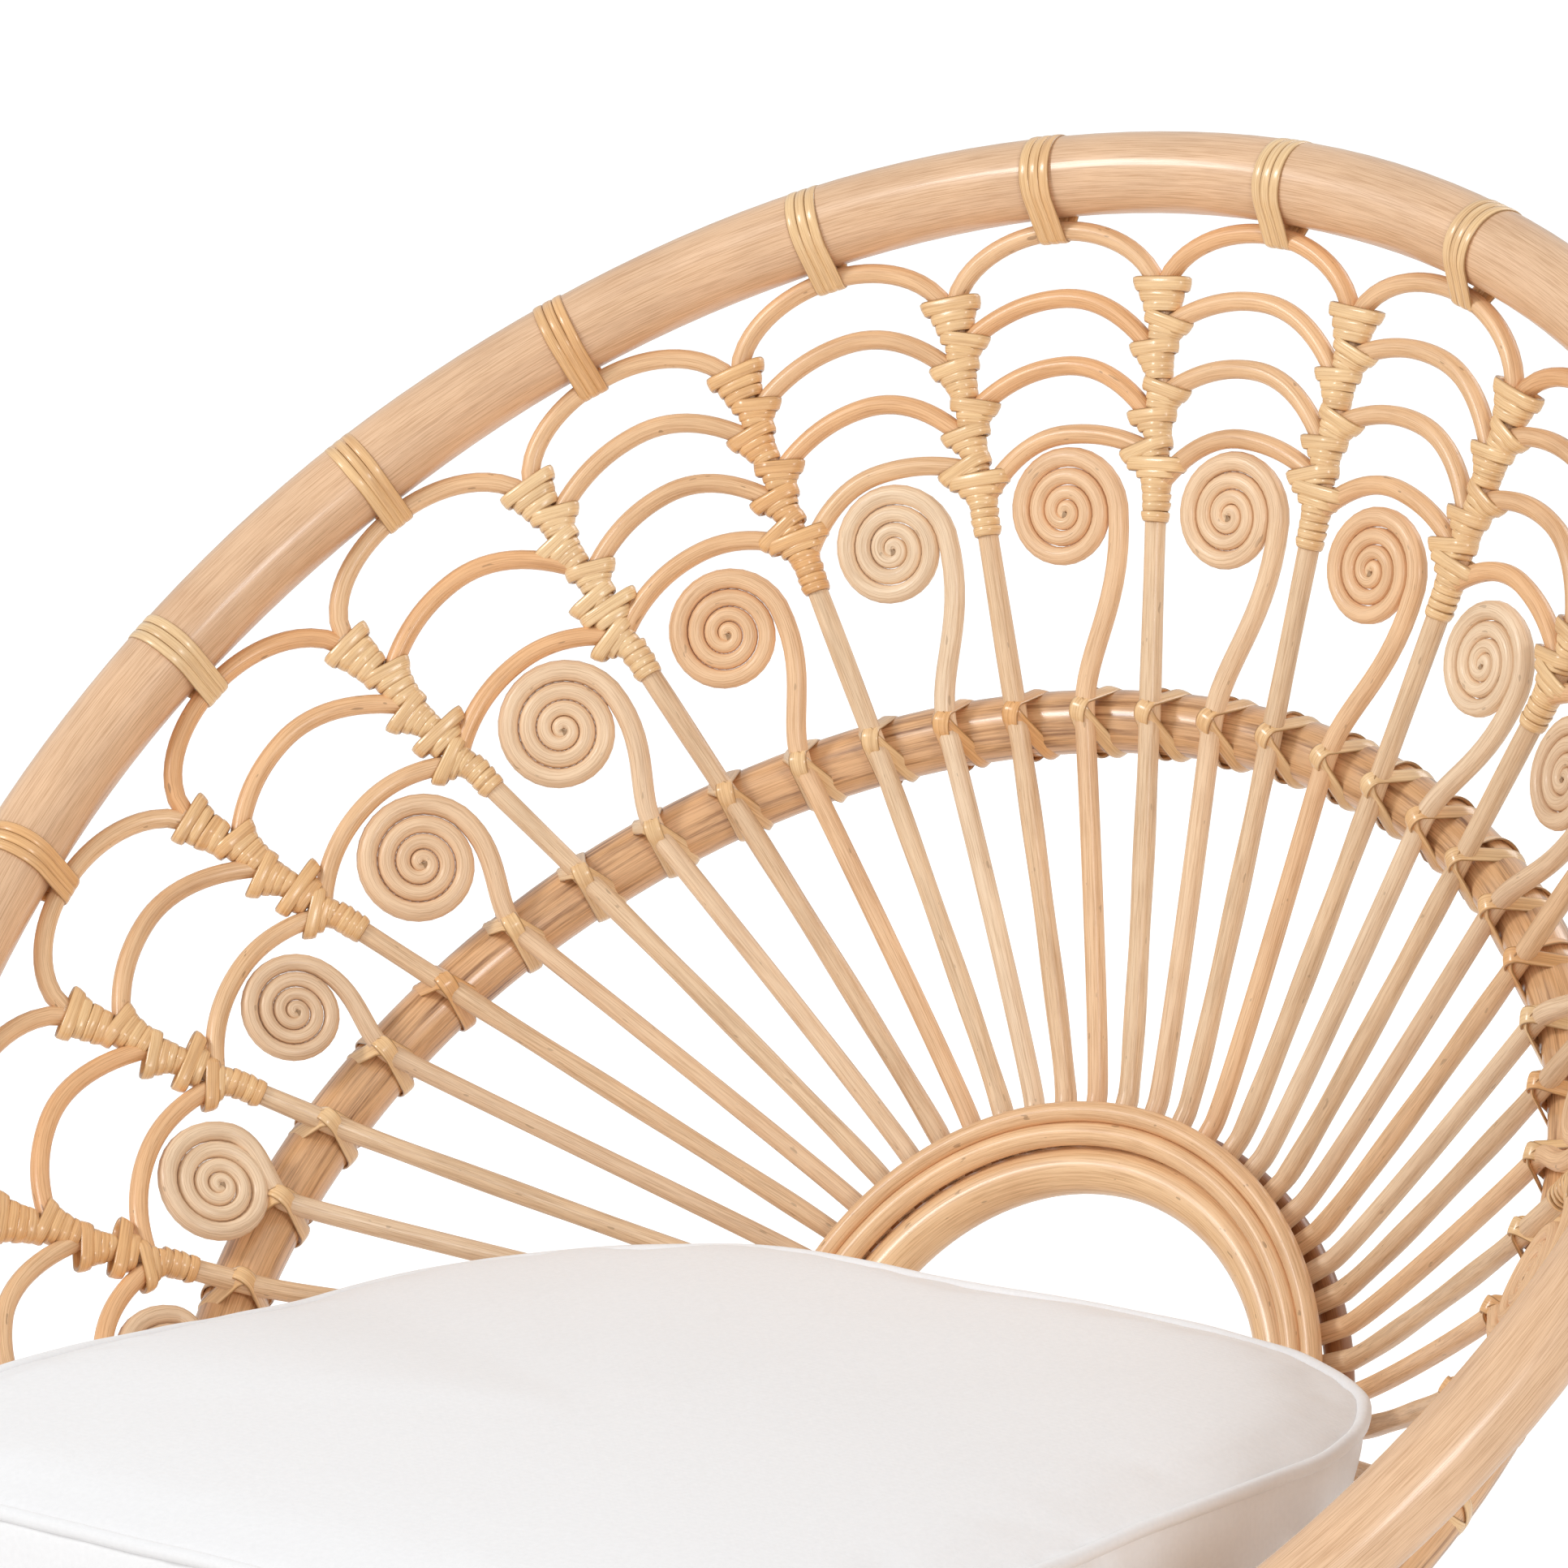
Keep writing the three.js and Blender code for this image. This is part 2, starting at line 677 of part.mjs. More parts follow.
// A stretcher between two leg axes, coped to both legs
function stretcherGeometry(fromAxis, fromRadius, toAxis, toRadius, height) {
  const from = axisPoint(fromAxis, height);
  const to = axisPoint(toAxis, height);
  const rail = solidOf(tube([from, to], stretcher.radius, stretcher.sides, upward));
  const fromLeg = solidOf(tube(fromAxis, fromRadius + seatGap, rim.sides, new Vector3(1, 0, 0)));
  const toLeg = solidOf(tube(toAxis, toRadius + seatGap, rim.sides, new Vector3(1, 0, 0)));
  return geometryOf(keepLargest(rail.subtract(fromLeg).subtract(toLeg)));
}

function glideGeometry(axis, side) {
  const place = footPlace(axis, side);
  const points = [
    new THREE.Vector2(0, -glide.height),
    new THREE.Vector2(glide.radius, -glide.height),
    new THREE.Vector2(glide.radius, 0),
    new THREE.Vector2(glide.stemRadius, 0),
    new THREE.Vector2(glide.stemRadius, glide.stemHeight),
    new THREE.Vector2(0, glide.stemHeight),
  ];
  const geometry = new THREE.LatheGeometry(points, glide.sides);
  geometry.rotateX(Math.PI / 2);
  return geometry.translate(place.x, place.y, place.z);
}

// Cushion outline at one level: rounded trapezoid, drawn in by the given inset
function cushionOutline(level, inset) {
  const share = THREE.MathUtils.clamp(level / cushion.height, 0, 1);
  const rearCorner = THREE.MathUtils.lerp(cushion.bottomRearCorner, cushion.topRearCorner, share);
  const rearHalf = cushion.rearHalfWidth - cushion.rearDrawIn * (1 - share) - inset;
  const frontHalf = cushion.frontHalfWidth - inset;
  const rear = cushionRear() + cushion.rearReach * share - inset;
  const front = cushionRear() - cushion.depth + inset;
  const corners = [
    { x: rearHalf, y: rear, radius: rearCorner, from: 0 },
    { x: -rearHalf, y: rear, radius: rearCorner, from: Math.PI / 2 },
    { x: -frontHalf, y: front, radius: cushion.frontCorner, from: Math.PI },
    { x: frontHalf, y: front, radius: cushion.frontCorner, from: (3 * Math.PI) / 2 },
  ];
  const z = frameTop + seatGap + level;
  return corners.flatMap(({ x, y, radius, from }) =>
    Array.from({ length: cushion.cornerSteps + 1 }, (_, i) => {
      const angle = from + ((Math.PI / 2) * i) / cushion.cornerSteps;
      const centreX = x - Math.sign(x) * radius;
      const centreY = y === rear ? y - radius : y + radius;
      return new Vector3(centreX + radius * Math.cos(angle), centreY + radius * Math.sin(angle), z);
    }),
  );
}

// The cushion's lower rear edge stays clear of the hub canes, and its upper one leans back over it
function cushionRear() {
  const reach = hubOuterCane.innerForward + hub.innerCaneRadius;
  return frameRear - reach / Math.cos(hub.lean) - cushion.hubClearance;
}

function cushionGeometry() {
  const rings = cushionSideShares.map(({ height, tuck }) =>
    cushionOutline(height * cushion.height, tuck * cushion.bottomTuck),
  );
  const edge = cushionOutline(cushion.height, cushion.edgeRadius);
  rings.push(edge);
  const middle = edge.reduce((sum, point) => sum.add(point), new Vector3()).divideScalar(edge.length);
  for (const { reach, rise } of cushionCrownShares) {
    rings.push(
      edge.map((point) => {
        const inner = middle.clone().lerp(point, reach);
        inner.z = point.z + cushion.crown * rise;
        return inner;
      }),
    );
  }
  return loft(rings);
}

// Assembly
const pieces = new THREE.Group();

function addPiece(name, geometry, material) {
  const mesh = new THREE.Mesh(geometry, material);
  mesh.name = name;
  pieces.add(mesh);
}

function numbered(name, number) {
  return `${name}_${String(number).padStart(2, "0")}`;
}

addPiece("outer_rim_pole", rimGeometry(), materials.pole);
addPiece("inner_ring_pole", ringGeometry(), materials.ring);
addPiece("hub_arch_pole", hubArc(hub.radius, hub.poleRadius, 0, hub.poleSides), materials.pole);
addPiece(
  "hub_cane_inner",
  hubArc(hubOuterCane.inner, hub.innerCaneRadius, hubOuterCane.innerForward, hub.caneSides),
  materials.cane,
);
addPiece(
  "hub_cane_outer",
  hubArc(hubOuterCane.outer, hub.outerCaneRadius, hubOuterCane.outerForward, hub.caneSides),
  materials.cane,
);
addPiece(
  "hub_back_arch",
  hubArc(hubOuterCane.outer, hub.backArchRadius, hubOuterCane.backForward, hub.caneSides),
  materials.cane,
);

for (let column = -lastColumn; column <= lastColumn; column += 1) {
  addPiece(numbered("lattice_stave", column + lastColumn + 1), latticeStave(column), materials.lattice);
}
addPiece(numbered("lattice_stave", 2 * lastColumn + 2), boundSpoke(lastColumn + 1 / 2), materials.lattice);

let smallestGap = Infinity;
for (let column = -lastColumn; column <= lastColumn; column += 1) {
  const { rings, last } = curlSpoke(column);
  smallestGap = Math.min(smallestGap, leastGap(rings, last));
  addPiece(numbered("curl_spoke", column + lastColumn + 1), loft(rings), materials.cane);
}
console.log(`least gap between the turns of a curl: ${smallestGap.toFixed(2)} mm`);

addPiece("seat_frame", geometryOf(frameSolid), materials.pole);
for (let number = 1; number <= slat.count; number += 1) {
  addPiece(`seat_slat_${number}`, slatGeometry(number), materials.cane);
}
addPiece("rear_leg_right", rearLegGeometry(1), materials.pole);
addPiece("rear_leg_left", rearLegGeometry(-1), materials.pole);

const frontLeft = frontAxis.map(mirrored);
const rearLeft = rearAxis.map(mirrored);
const sideHeight = stretcher.height + stretcher.sideRise;
addPiece(
  "stretcher_front",
  stretcherGeometry(frontLeft, rim.radius, frontAxis, rim.radius, stretcher.height),
  materials.pole,
);
addPiece(
  "stretcher_rear",
  stretcherGeometry(rearLeft, rearLeg.radius, rearAxis, rearLeg.radius, stretcher.height),
  materials.pole,
);
addPiece(
  "stretcher_right",
  stretcherGeometry(frontAxis, rim.radius, rearAxis, rearLeg.radius, sideHeight),
  materials.pole,
);
addPiece(
  "stretcher_left",
  stretcherGeometry(frontLeft, rim.radius, rearLeft, rearLeg.radius, sideHeight),
  materials.pole,
);
addPiece("glide_front_right", glideGeometry(frontAxis, 1), materials.glide);
addPiece("glide_front_left", glideGeometry(frontAxis, -1), materials.glide);
addPiece("glide_rear_right", glideGeometry(rearAxis, 1), materials.glide);
addPiece("glide_rear_left", glideGeometry(rearAxis, -1), materials.glide);
addPiece("seat_cushion", cushionGeometry(), materials.fabric);

// The chair stands on the floor, with the middle of its outline over the origin
const bounds = new THREE.Box3().setFromObject(pieces);
pieces.position.set(0, -(bounds.min.y + bounds.max.y) / 2, hubHeight);

const chair = new THREE.Group();
chair.name = "peacock_chair";
chair.add(pieces);

export default chair;
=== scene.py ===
import math
from collections import namedtuple

import bpy
from mathutils import Matrix, Vector
from mathutils.geometry import interpolate_bezier, intersect_point_line


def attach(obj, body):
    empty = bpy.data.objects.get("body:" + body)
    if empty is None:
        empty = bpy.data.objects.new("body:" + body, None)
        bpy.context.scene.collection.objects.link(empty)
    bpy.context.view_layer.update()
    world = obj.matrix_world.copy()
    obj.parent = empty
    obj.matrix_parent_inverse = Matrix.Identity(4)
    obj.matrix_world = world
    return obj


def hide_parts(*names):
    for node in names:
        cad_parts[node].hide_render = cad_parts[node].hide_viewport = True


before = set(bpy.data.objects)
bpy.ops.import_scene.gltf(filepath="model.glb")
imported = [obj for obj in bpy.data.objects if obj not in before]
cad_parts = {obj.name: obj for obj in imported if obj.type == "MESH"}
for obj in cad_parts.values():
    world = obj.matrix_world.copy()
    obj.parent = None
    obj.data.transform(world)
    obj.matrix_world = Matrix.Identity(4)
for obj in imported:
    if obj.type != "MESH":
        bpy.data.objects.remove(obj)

bl_info = {
    "name": "Rattan Peacock Chair",
    "version": (1, 0, 0),
    "blender": (4, 5, 0),
    "location": "View3D > Sidebar > Chair",
    "description": "Builds the smooth poles, canes, peel bindings and cushion of a rattan peacock chair",
    "category": "Add Mesh",
}

MM = 0.001
# Centre of the hub arch in the row frame, in millimetres. Every place below is measured from it.
HUB_CENTRE = Vector((0, 157.305, 368))

# The three leaning hoops of the fan, and how its spokes are spread over them
RIM = dict(width=396, length=419, lean=math.radians(49.2), y=-156, z=208)
RIM_PITCH = math.radians(15.16)
RIM_STEP = RIM_PITCH / 2
RING = dict(width=292, length=295, lean=math.radians(52), y=-104.5, z=78.5)
RING_STEP = 6.13
RING_SPREAD = 0.0039
HUB_STEP = 6
FAN_SHIFT = 1.3
HUB_RADIUS = 110
HUB_LEAN = math.radians(31.4)
# The real hub sits a little to the right of the middle and a little low
HUB_SIDE = 5
HUB_DROP = 3
# The canes round the hub pole: radius of the arch, how far it lies before the hub, and radius of the cane
HUB_CANES = dict(inner=(121.6, 11, 4.8), outer=(130.4, 12.5, 4.4), back=(130.4, -10.7, 6))
LAST_COLUMN = 8
LAST_TALL = 3

# Radii of the poles that other pieces seat against, and the gap that seated pieces keep
RIM_POLE = 17
SEAT_POLE = 14
GAP = 0.3

# Where a spoke starts outside the hub, where it comes clear of the hub canes, how far its middle lies before
# that of the ring, and how far the topmost arch keeps from the middle of the rim
ROOT_OUT = 10.3
CLEAR_RADIUS = 140.4
SPOKE_LIFT = 17.7
ARCH_SEAT = 21.3

# Depths of the arches below the rim, in the tall columns at the top and in the short ones at the sides
TALL = (0, 27.5, 55, 83)
SHORT = (0, 36.5, 79.5)
# How much lower some curls hang, and how wide some are compared with the rest
CURL_DROPS = {-3: 4, 1: 3, 2: 5}
CURL_SHARES = {-6: 0.88, -5: 1.05, -4: 1.06}
SEAT_TOP = -38.3
FLOOR = -368


def lerp(a, b, share):
    return a + (b - a) * share


def hoop_point(hoop, angle, forward=0.0):
    """A point of a leaning hoop. The angle counts from its top, and forward is off its plane."""
    along = hoop["length"] * math.cos(angle)
    return Vector((
        hoop.get("x", 0) + hoop["width"] * math.sin(angle),
        hoop["y"] + along * math.sin(hoop["lean"]) - forward * math.cos(hoop["lean"]),
        hoop["z"] + along * math.cos(hoop["lean"]) + forward * math.sin(hoop["lean"]),
    ))


def hub_point(radius, angle, forward=0.0):
    hoop = dict(width=radius, length=radius, lean=HUB_LEAN, x=HUB_SIDE, y=0, z=-HUB_DROP)
    return hoop_point(hoop, angle, forward)


def ring_angle(half_columns):
    """Angle of a spoke on the ring: a little to the right of the columns, wider apart towards the arms."""
    return math.radians(FAN_SHIFT + RING_STEP * half_columns + RING_SPREAD * half_columns ** 3)


def hub_angle(half_columns):
    return math.radians(FAN_SHIFT + HUB_STEP * half_columns)


def hoop_seat(hoop, from_angle, to_angle):
    start = hoop_point(hoop, from_angle)
    end = hoop_point(hoop, to_angle)
    return (start + end) / 2, (end - start).normalized()


def bezier(start, start_handle, end_handle, end, steps):
    return interpolate_bezier(start, start_handle, end_handle, end, steps + 1)


def colour(code):
    """An sRGB hex colour as the linear numbers that a shader socket takes."""
    parts = [int(code[i:i + 2], 16) / 255 for i in (0, 2, 4)]
    return [p / 12.92 if p <= 0.04045 else ((p + 0.055) / 1.055) ** 2.4 for p in parts] + [1.0]


def length_property(name, description, size):
    return bpy.props.FloatProperty(
        name=name, description=description, default=size * MM, min=MM, unit="LENGTH", subtype="DISTANCE")


def colour_property(name, description, code):
    return bpy.props.FloatVectorProperty(
        name=name, description=description, default=colour(code), size=4, min=0, max=1, subtype="COLOR")


class ChairSizes(bpy.types.PropertyGroup):
    """Thicknesses that a user may change"""

    rim_pole: length_property("Rim pole", "Thickness of the pole of the rim, the arms and the front legs", 34)
    ring_pole: length_property("Ring pole", "Thickness of the ring behind the fan", 26)
    hub_pole: length_property("Hub pole", "Thickness of the pole round the hole", 20)
    spoke: length_property("Spoke", "Thickness of the straight spokes", 8.8)
    arch: length_property("Arch", "Thickness of the thin arches", 8)
    curl: length_property("Curl", "Width of a rolled-up spoke", 57)
    piping: length_property("Piping", "Thickness of the piping on the cushion", 6)


class ChairColours(bpy.types.PropertyGroup):
    """Colours that a user may change"""

    pole: colour_property("Poles", "Colour of the thick poles", "EFC7A0")
    ring: colour_property("Ring", "Colour of the ring behind the fan", "E9B988")
    spoke: colour_property("Spokes", "Colour of the scraped spokes and curls", "F8DCBB")
    arch: colour_property("Arches", "Colour of the thin arches", "F5CDA0")
    peel: colour_property("Peel", "Colour of the bindings and wraps", "F9D5A4")
    cloth: colour_property("Cloth", "Colour of the cushion cover", "F6F6F7")


class FanLine:
    """The line of the fan from the ring to the rim, at a column or at a valley halfway between two."""

    known = {}

    def __init__(self, column):
        half = 2 * column
        rim_angle = column * RIM_PITCH
        self.ring_centre, self.ring_tangent = hoop_seat(RING, ring_angle(half - 0.5), ring_angle(half + 0.5))
        self.rim_centre, self.rim_tangent = hoop_seat(RIM, rim_angle - RIM_STEP / 2, rim_angle + RIM_STEP / 2)
        self.root = hub_point(HUB_RADIUS + ROOT_OUT, hub_angle(half))
        self.clear = hub_point(CLEAR_RADIUS, hub_angle(half))
        coming = (self.ring_centre - self.clear).normalized()
        going = (self.rim_centre - self.ring_centre).normalized()
        mean = (coming + going).normalized()
        self.front = self.ring_tangent.cross(mean).normalized()
        self.crossing = self.ring_centre + self.front * SPOKE_LIFT
        to_rim = self.rim_centre - self.crossing
        self.up = to_rim.normalized()
        slant = self.up.cross(self.rim_tangent).length
        self.length = to_rim.length - ARCH_SEAT / slant
        self.right = self.up.cross(self.front).normalized()

    @classmethod
    def at(cls, column):
        if column not in cls.known:
            cls.known[column] = cls(column)
        return cls.known[column]


def fan_point(column, depth):
    line = FanLine.at(column)
    return line.crossing + line.up * (line.length - depth)


def tiers_at(column):
    return TALL if abs(column) < LAST_TALL + 1 else SHORT


def spoke_root(column, steps=22):
    line = FanLine.at(column)
    outward = (line.clear - line.root).normalized()
    bend = bezier(line.clear, line.clear + outward * 10, line.crossing - line.up * 25, line.crossing, steps)
    return [line.root] + bend


def add_node(tree, kind, inputs=None, **settings):
    """Adds a node, sets its properties, and fills or links its inputs by name or number."""
    made = tree.nodes.new(kind)
    for key, value in settings.items():
        setattr(made, key, value)
    for key, value in (inputs or {}).items():
        if isinstance(value, bpy.types.NodeSocket):
            tree.links.new(value, made.inputs[key])
        else:
            made.inputs[key].default_value = value
    return made


def ramp(tree, fac, stops):
    """A colour ramp. A stop's value is a hex colour, a list of linear numbers or one grey level."""
    made = add_node(tree, "ShaderNodeValToRGB", {"Fac": fac})
    while len(made.color_ramp.elements) < len(stops):
        made.color_ramp.elements.new(0.5)
    for element, (place, value) in zip(made.color_ramp.elements, stops):
        if isinstance(value, str):
            value = colour(value)
        elif not isinstance(value, list):
            value = [value] * 3 + [1]
        element.position = place
        element.color = value
    return made.outputs["Color"]


def shade(base, *factors):
    """A colour multiplied by one factor, or by one for each of red, green and blue."""
    factors = factors * 3 if len(factors) == 1 else factors
    return [min(1.0, part * factor) for part, factor in zip(base, factors)] + [1.0]


def attribute(tree, name, output):
    return add_node(tree, "ShaderNodeAttribute", attribute_name=name).outputs[output]


def drawn_out(tree, grain, share):
    """The grain stretched along the cane, so that a pattern on it turns into fibres."""
    return add_node(tree, "ShaderNodeMapping", {"Vector": grain, "Scale": (1, 1, share)}).outputs[0]


def noise(tree, place, scale, detail, roughness=0.5):
    inputs = {"Vector": place, "Scale": scale, "Detail": detail, "Roughness": roughness}
    return add_node(tree, "ShaderNodeTexNoise", inputs).outputs["Fac"]


def combine(tree, way, first, second):
    return add_node(tree, "ShaderNodeMath", {0: first, 1: second}, operation=way).outputs[0]


def blend(tree, factor, under, over, way="MIX"):
    inputs = {"Factor": factor, 6: under, 7: over}
    return add_node(tree, "ShaderNodeMix", inputs, data_type="RGBA", blend_type=way).outputs[2]


def relief(tree, height, strength, depth):
    inputs = {"Height": height, "Strength": strength, "Distance": depth}
    return add_node(tree, "ShaderNodeBump", inputs).outputs[0]


def empty_material(name):
    made = bpy.data.materials.new(name)
    made.use_nodes = True
    made.node_tree.nodes.clear()
    return made


def finish_surface(tree, inputs):
    shader = add_node(tree, "ShaderNodeBsdfPrincipled", inputs)
    add_node(tree, "ShaderNodeOutputMaterial", {"Surface": shader.outputs[0]})


# Patterns of the cane, each as how many fit in a metre: streaks 3 mm apart, clouds 45 mm, specks 2.4 mm
STREAKS = 330.0
CLOUDS = 22.0
SPECKS = 420.0
RELIEF_DEPTH = 0.3 * MM
PLAIN_TONES = ("ECDFD4", "FFFFFF", "FADDBC")
PEEL_TONES = ("FFFFFF", "FDF3E6", "F2C68E")


def cane_material(name, base, dark, roughness, coat, fibre=0.5, streak=0.5, specks=0.0, tones=PLAIN_TONES):
    """Rattan under clear lacquer: fine fibres and darker streaks run along the cane, with a few small specks.

    The grain attribute holds the place across the cane and the length along it, so the fibres follow bends.
    The fibre value is their spacing in mm, coarser than the real one of about 0.3 mm so that they show.
    """
    made = empty_material(name)
    tree = made.node_tree
    grain = attribute(tree, "grain", "Vector")
    fibres = noise(tree, drawn_out(tree, grain, 0.02), 1 / (fibre * MM), 4.0, 0.65)
    streaks = noise(tree, drawn_out(tree, grain, 0.045), STREAKS, 5.0, 0.65)
    clouds = noise(tree, grain, CLOUDS, 3.0)
    spots = noise(tree, drawn_out(tree, grain, 0.3), SPECKS, 1.0)
    worn = shade(base, 0.93, 0.88, 0.84)
    ground = ramp(tree, clouds, [(0.35, shade(base, 1.08)), (0.6, base), (0.8, worn)])
    streak_part = combine(tree, "MULTIPLY", ramp(tree, streaks, [(0.5, 0.0), (0.7, 1.0)]), streak)
    streaked = blend(tree, streak_part, ground, dark)
    fibred = blend(tree, 0.62, streaked, ramp(tree, fibres, [(0.34, "C9B49A"), (0.56, "FFFFFF")]), "MULTIPLY")
    tint = ramp(tree, attribute(tree, "tone", "Fac"), list(zip((0.0, 0.5, 1.0), tones)))
    tinted = blend(tree, 0.6, fibred, tint, "MULTIPLY")
    spotted = blend(tree, ramp(tree, spots, [(0.735, 0.0), (0.76, specks)]), tinted, shade(dark, 0.4))
    # The edge attribute darkens the edges of flat strands as painted shade in the gaps between strands. It
    # also darkens the marked stations at the end of a curl.
    edge_shade_and_curl_end_mask = ramp(tree, attribute(tree, "edge", "Fac"), [(0.82, 0.0), (0.98, 0.85)])
    limits = {"Value": streaks, "To Min": roughness - 0.07, "To Max": roughness + 0.12}
    finish_surface(tree, {
        "Base Color": blend(tree, edge_shade_and_curl_end_mask, spotted, shade(dark, 0.7)),
        "Roughness": add_node(tree, "ShaderNodeMapRange", limits).outputs[0],
        "Normal": relief(tree, combine(tree, "ADD", fibres, streaks), 0.22, RELIEF_DEPTH),
        "IOR": 1.5, "Coat Weight": coat, "Coat Roughness": 0.16,
    })
    return made


# Threads are drawn 1.4 mm apart, coarser than real, because real ones are too fine for the picture
THREAD_GAP = 1.4
SLUBS = 420.0


def weave(tree, place, direction):
    inputs = {"Vector": place, "Scale": 1 / (THREAD_GAP * MM * 6.2832), "Distortion": 1.2, "Detail": 2.0}
    return add_node(tree, "ShaderNodeTexWave", inputs, bands_direction=direction).outputs["Fac"]


def fabric_material(name, cloth):
    """Plain-woven cotton: crossing threads with soft slubs and a dry sheen."""
    made = empty_material(name)
    tree = made.node_tree
    place = add_node(tree, "ShaderNodeTexCoord").outputs["Object"]
    slubs = noise(tree, place, SLUBS, 4.0, 0.6)
    cross = combine(tree, "MULTIPLY", weave(tree, place, "X"), weave(tree, place, "Y"))
    finish_surface(tree, {
        "Base Color": ramp(tree, slubs, [(0.25, shade(cloth, 0.955)), (0.7, cloth)]), "Roughness": 0.92,
        "Normal": relief(tree, combine(tree, "ADD", cross, slubs), 0.18, RELIEF_DEPTH),
        "Sheen Weight": 0.15, "Sheen Roughness": 0.6,
    })
    return made


# Pebbles in a metre, about 0.8 mm apart
PEBBLES = 1200.0
PEBBLE_DEPTH = 0.2 * MM


def glide_material(name, dark, pale):
    """Moulded polyethylene of a push-in glide: dull, with a fine pebble from the mould."""
    made = empty_material(name)
    tree = made.node_tree
    pebble = noise(tree, add_node(tree, "ShaderNodeTexCoord").outputs["Object"], PEBBLES, 3.0)
    finish_surface(tree, {
        "Base Color": ramp(tree, pebble, [(0.3, dark), (0.7, pale)]), "Roughness": 0.6,
        "Normal": relief(tree, pebble, 0.2, PEBBLE_DEPTH),
    })
    return made


def pole_finish(colours):
    """Smooth skin under lacquer: honey-pale, with faint streaks and an even gloss."""
    base = list(colours.pole)
    return cane_material("lacquered rattan pole", base, shade(base, 0.6, 0.5, 0.42), 0.36, 0.55, 0.45, 0.24)


def ring_finish(colours):
    """Glossy skin left on the pole: strong brown streaks and sharp highlights."""
    base = list(colours.ring)
    dark = shade(base, 0.3, 0.19, 0.11)
    return cane_material("glossy dark-streaked rattan", base, dark, 0.3, 0.7, 0.6, 0.95)


def hub_finish(colours):
    """Bent hot and lacquered: paler than the poles, with a few small specks."""
    base = shade(list(colours.pole), 1.09, 1.2, 1.2)
    dark = shade(list(colours.pole), 0.6, 0.48, 0.36)
    return cane_material("glossy bent rattan", base, dark, 0.34, 0.55, 0.6, 0.2, 0.5)


def shaded_back_finish(colours):
    """Dark brown on the hidden arch: painted shade, so that it reads as a shadow behind the hub."""
    base = shade(list(colours.ring), 0.42, 0.3, 0.2)
    dark = shade(list(colours.ring), 0.2, 0.12, 0.07)
    return cane_material("rattan darkened as painted shade", base, dark, 0.4, 0.4, 0.6, 0.6)


def curl_finish(colours):
    """Core scraped to thin it for rolling: pale and rather dull, with open fibres."""
    base = list(colours.spoke)
    dark = shade(base, 0.55, 0.44, 0.34)
    return cane_material("scraped rattan core", base, dark, 0.46, 0.2, 0.42, 0.28, 0.35)


def stave_finish(colours):
    """Straight core with a thin coat: a shade darker and more streaked than the curls."""
    base = shade(list(colours.spoke), 0.94, 0.91, 0.86)
    dark = shade(list(colours.spoke), 0.5, 0.4, 0.3)
    return cane_material("straight rattan spoke", base, dark, 0.42, 0.25, 0.42, 0.4, 0.35)


def arch_finish(colours):
    """Core bent wet and lacquered: warm, with a soft gloss and small specks."""
    base = list(colours.arch)
    return cane_material("bent rattan core", base, shade(base, 0.6, 0.46, 0.34), 0.4, 0.3, 0.45, 0.3, 0.5)


def peel_finish(colours):
    """Skin split into flat strands: hard and shiny, with edges darkened as painted shade in the gaps between
    strands, and strands of differing yellow.
    """
    base = list(colours.peel)
    dark = shade(base, 0.5, 0.36, 0.22)
    return cane_material("rattan peel", base, dark, 0.26, 0.5, 0.6, 0.3, tones=PEEL_TONES)


def cover_finish(colours):
    """Woven and washed cloth: matt and nearly white, with a weave that breaks up the light."""
    return fabric_material("plain-woven cotton", list(colours.cloth))


def glide_finish(colours):
    """Dark plastic straight from the mould: dull and slightly pebbled."""
    return glide_material("moulded glide", "46413C", "5A554F")


FINISHES = dict(
    pole=pole_finish, ring=ring_finish, hub=hub_finish, back=shaded_back_finish, spoke=curl_finish,
    stave=stave_finish, arch=arch_finish, peel=peel_finish, fabric=cover_finish, glide=glide_finish,
)
MATERIALS = {}


def material(key):
    """The material of a finish, made once."""
    if key not in MATERIALS:
        MATERIALS[key] = FINISHES[key](bpy.context.scene.chair_colours)
    return MATERIALS[key]


def steady(number):
    """A share from 0 to 1 that looks random and is the same in each run."""
    return math.modf(abs(math.sin(number * 12.9898 + 4.1) * 43758.5453))[0]


# A run of cane: dark counts the stations at its end that are dark
Cane = namedtuple("Cane", "points radii faces tone dark", defaults=(None, None, 0))


def lay_canes(name, runs, finish, closed=False, rounding=3, seed=1, flat=None):
    """One object of round canes or flat strands, from runs of points and radii in mm from the hub centre.

    Flat strands have a third list in each run, the directions that they face, and flat holds their half width
    and half thickness as shares of the radius.
    """
    bpy.ops.object.select_all(action="DESELECT")
    bpy.ops.curve.primitive_nurbs_path_add(radius=MM)
    piece = bpy.context.object
    piece.name = name
    piece.matrix_world = Matrix.Identity(4)
    path = piece.data
    path.splines.clear()
    path.dimensions = "3D"
    path.bevel_depth = MM
    path.bevel_resolution = rounding
    path.use_fill_caps = not closed
    path.twist_mode = "MINIMUM"
    for cane in runs:
        spline = path.splines.new("POLY")
        spline.points.add(len(cane.points) - 1)
        spline.use_cyclic_u = closed
        for point, place, radius in zip(spline.points, cane.points, cane.radii):
            point.co = [*((place + HUB_CENTRE) * MM), 1]
            point.radius = radius
    bpy.ops.object.convert(target="MESH")
    piece = bpy.context.object
    piece.name = name
    piece.data.name = name
    set_grain(piece.data, runs, closed, 2 * (rounding + 2), seed, flat)
    piece.data.materials.clear()
    piece.data.materials.append(material(finish))
    bpy.ops.object.shade_smooth()
    return piece


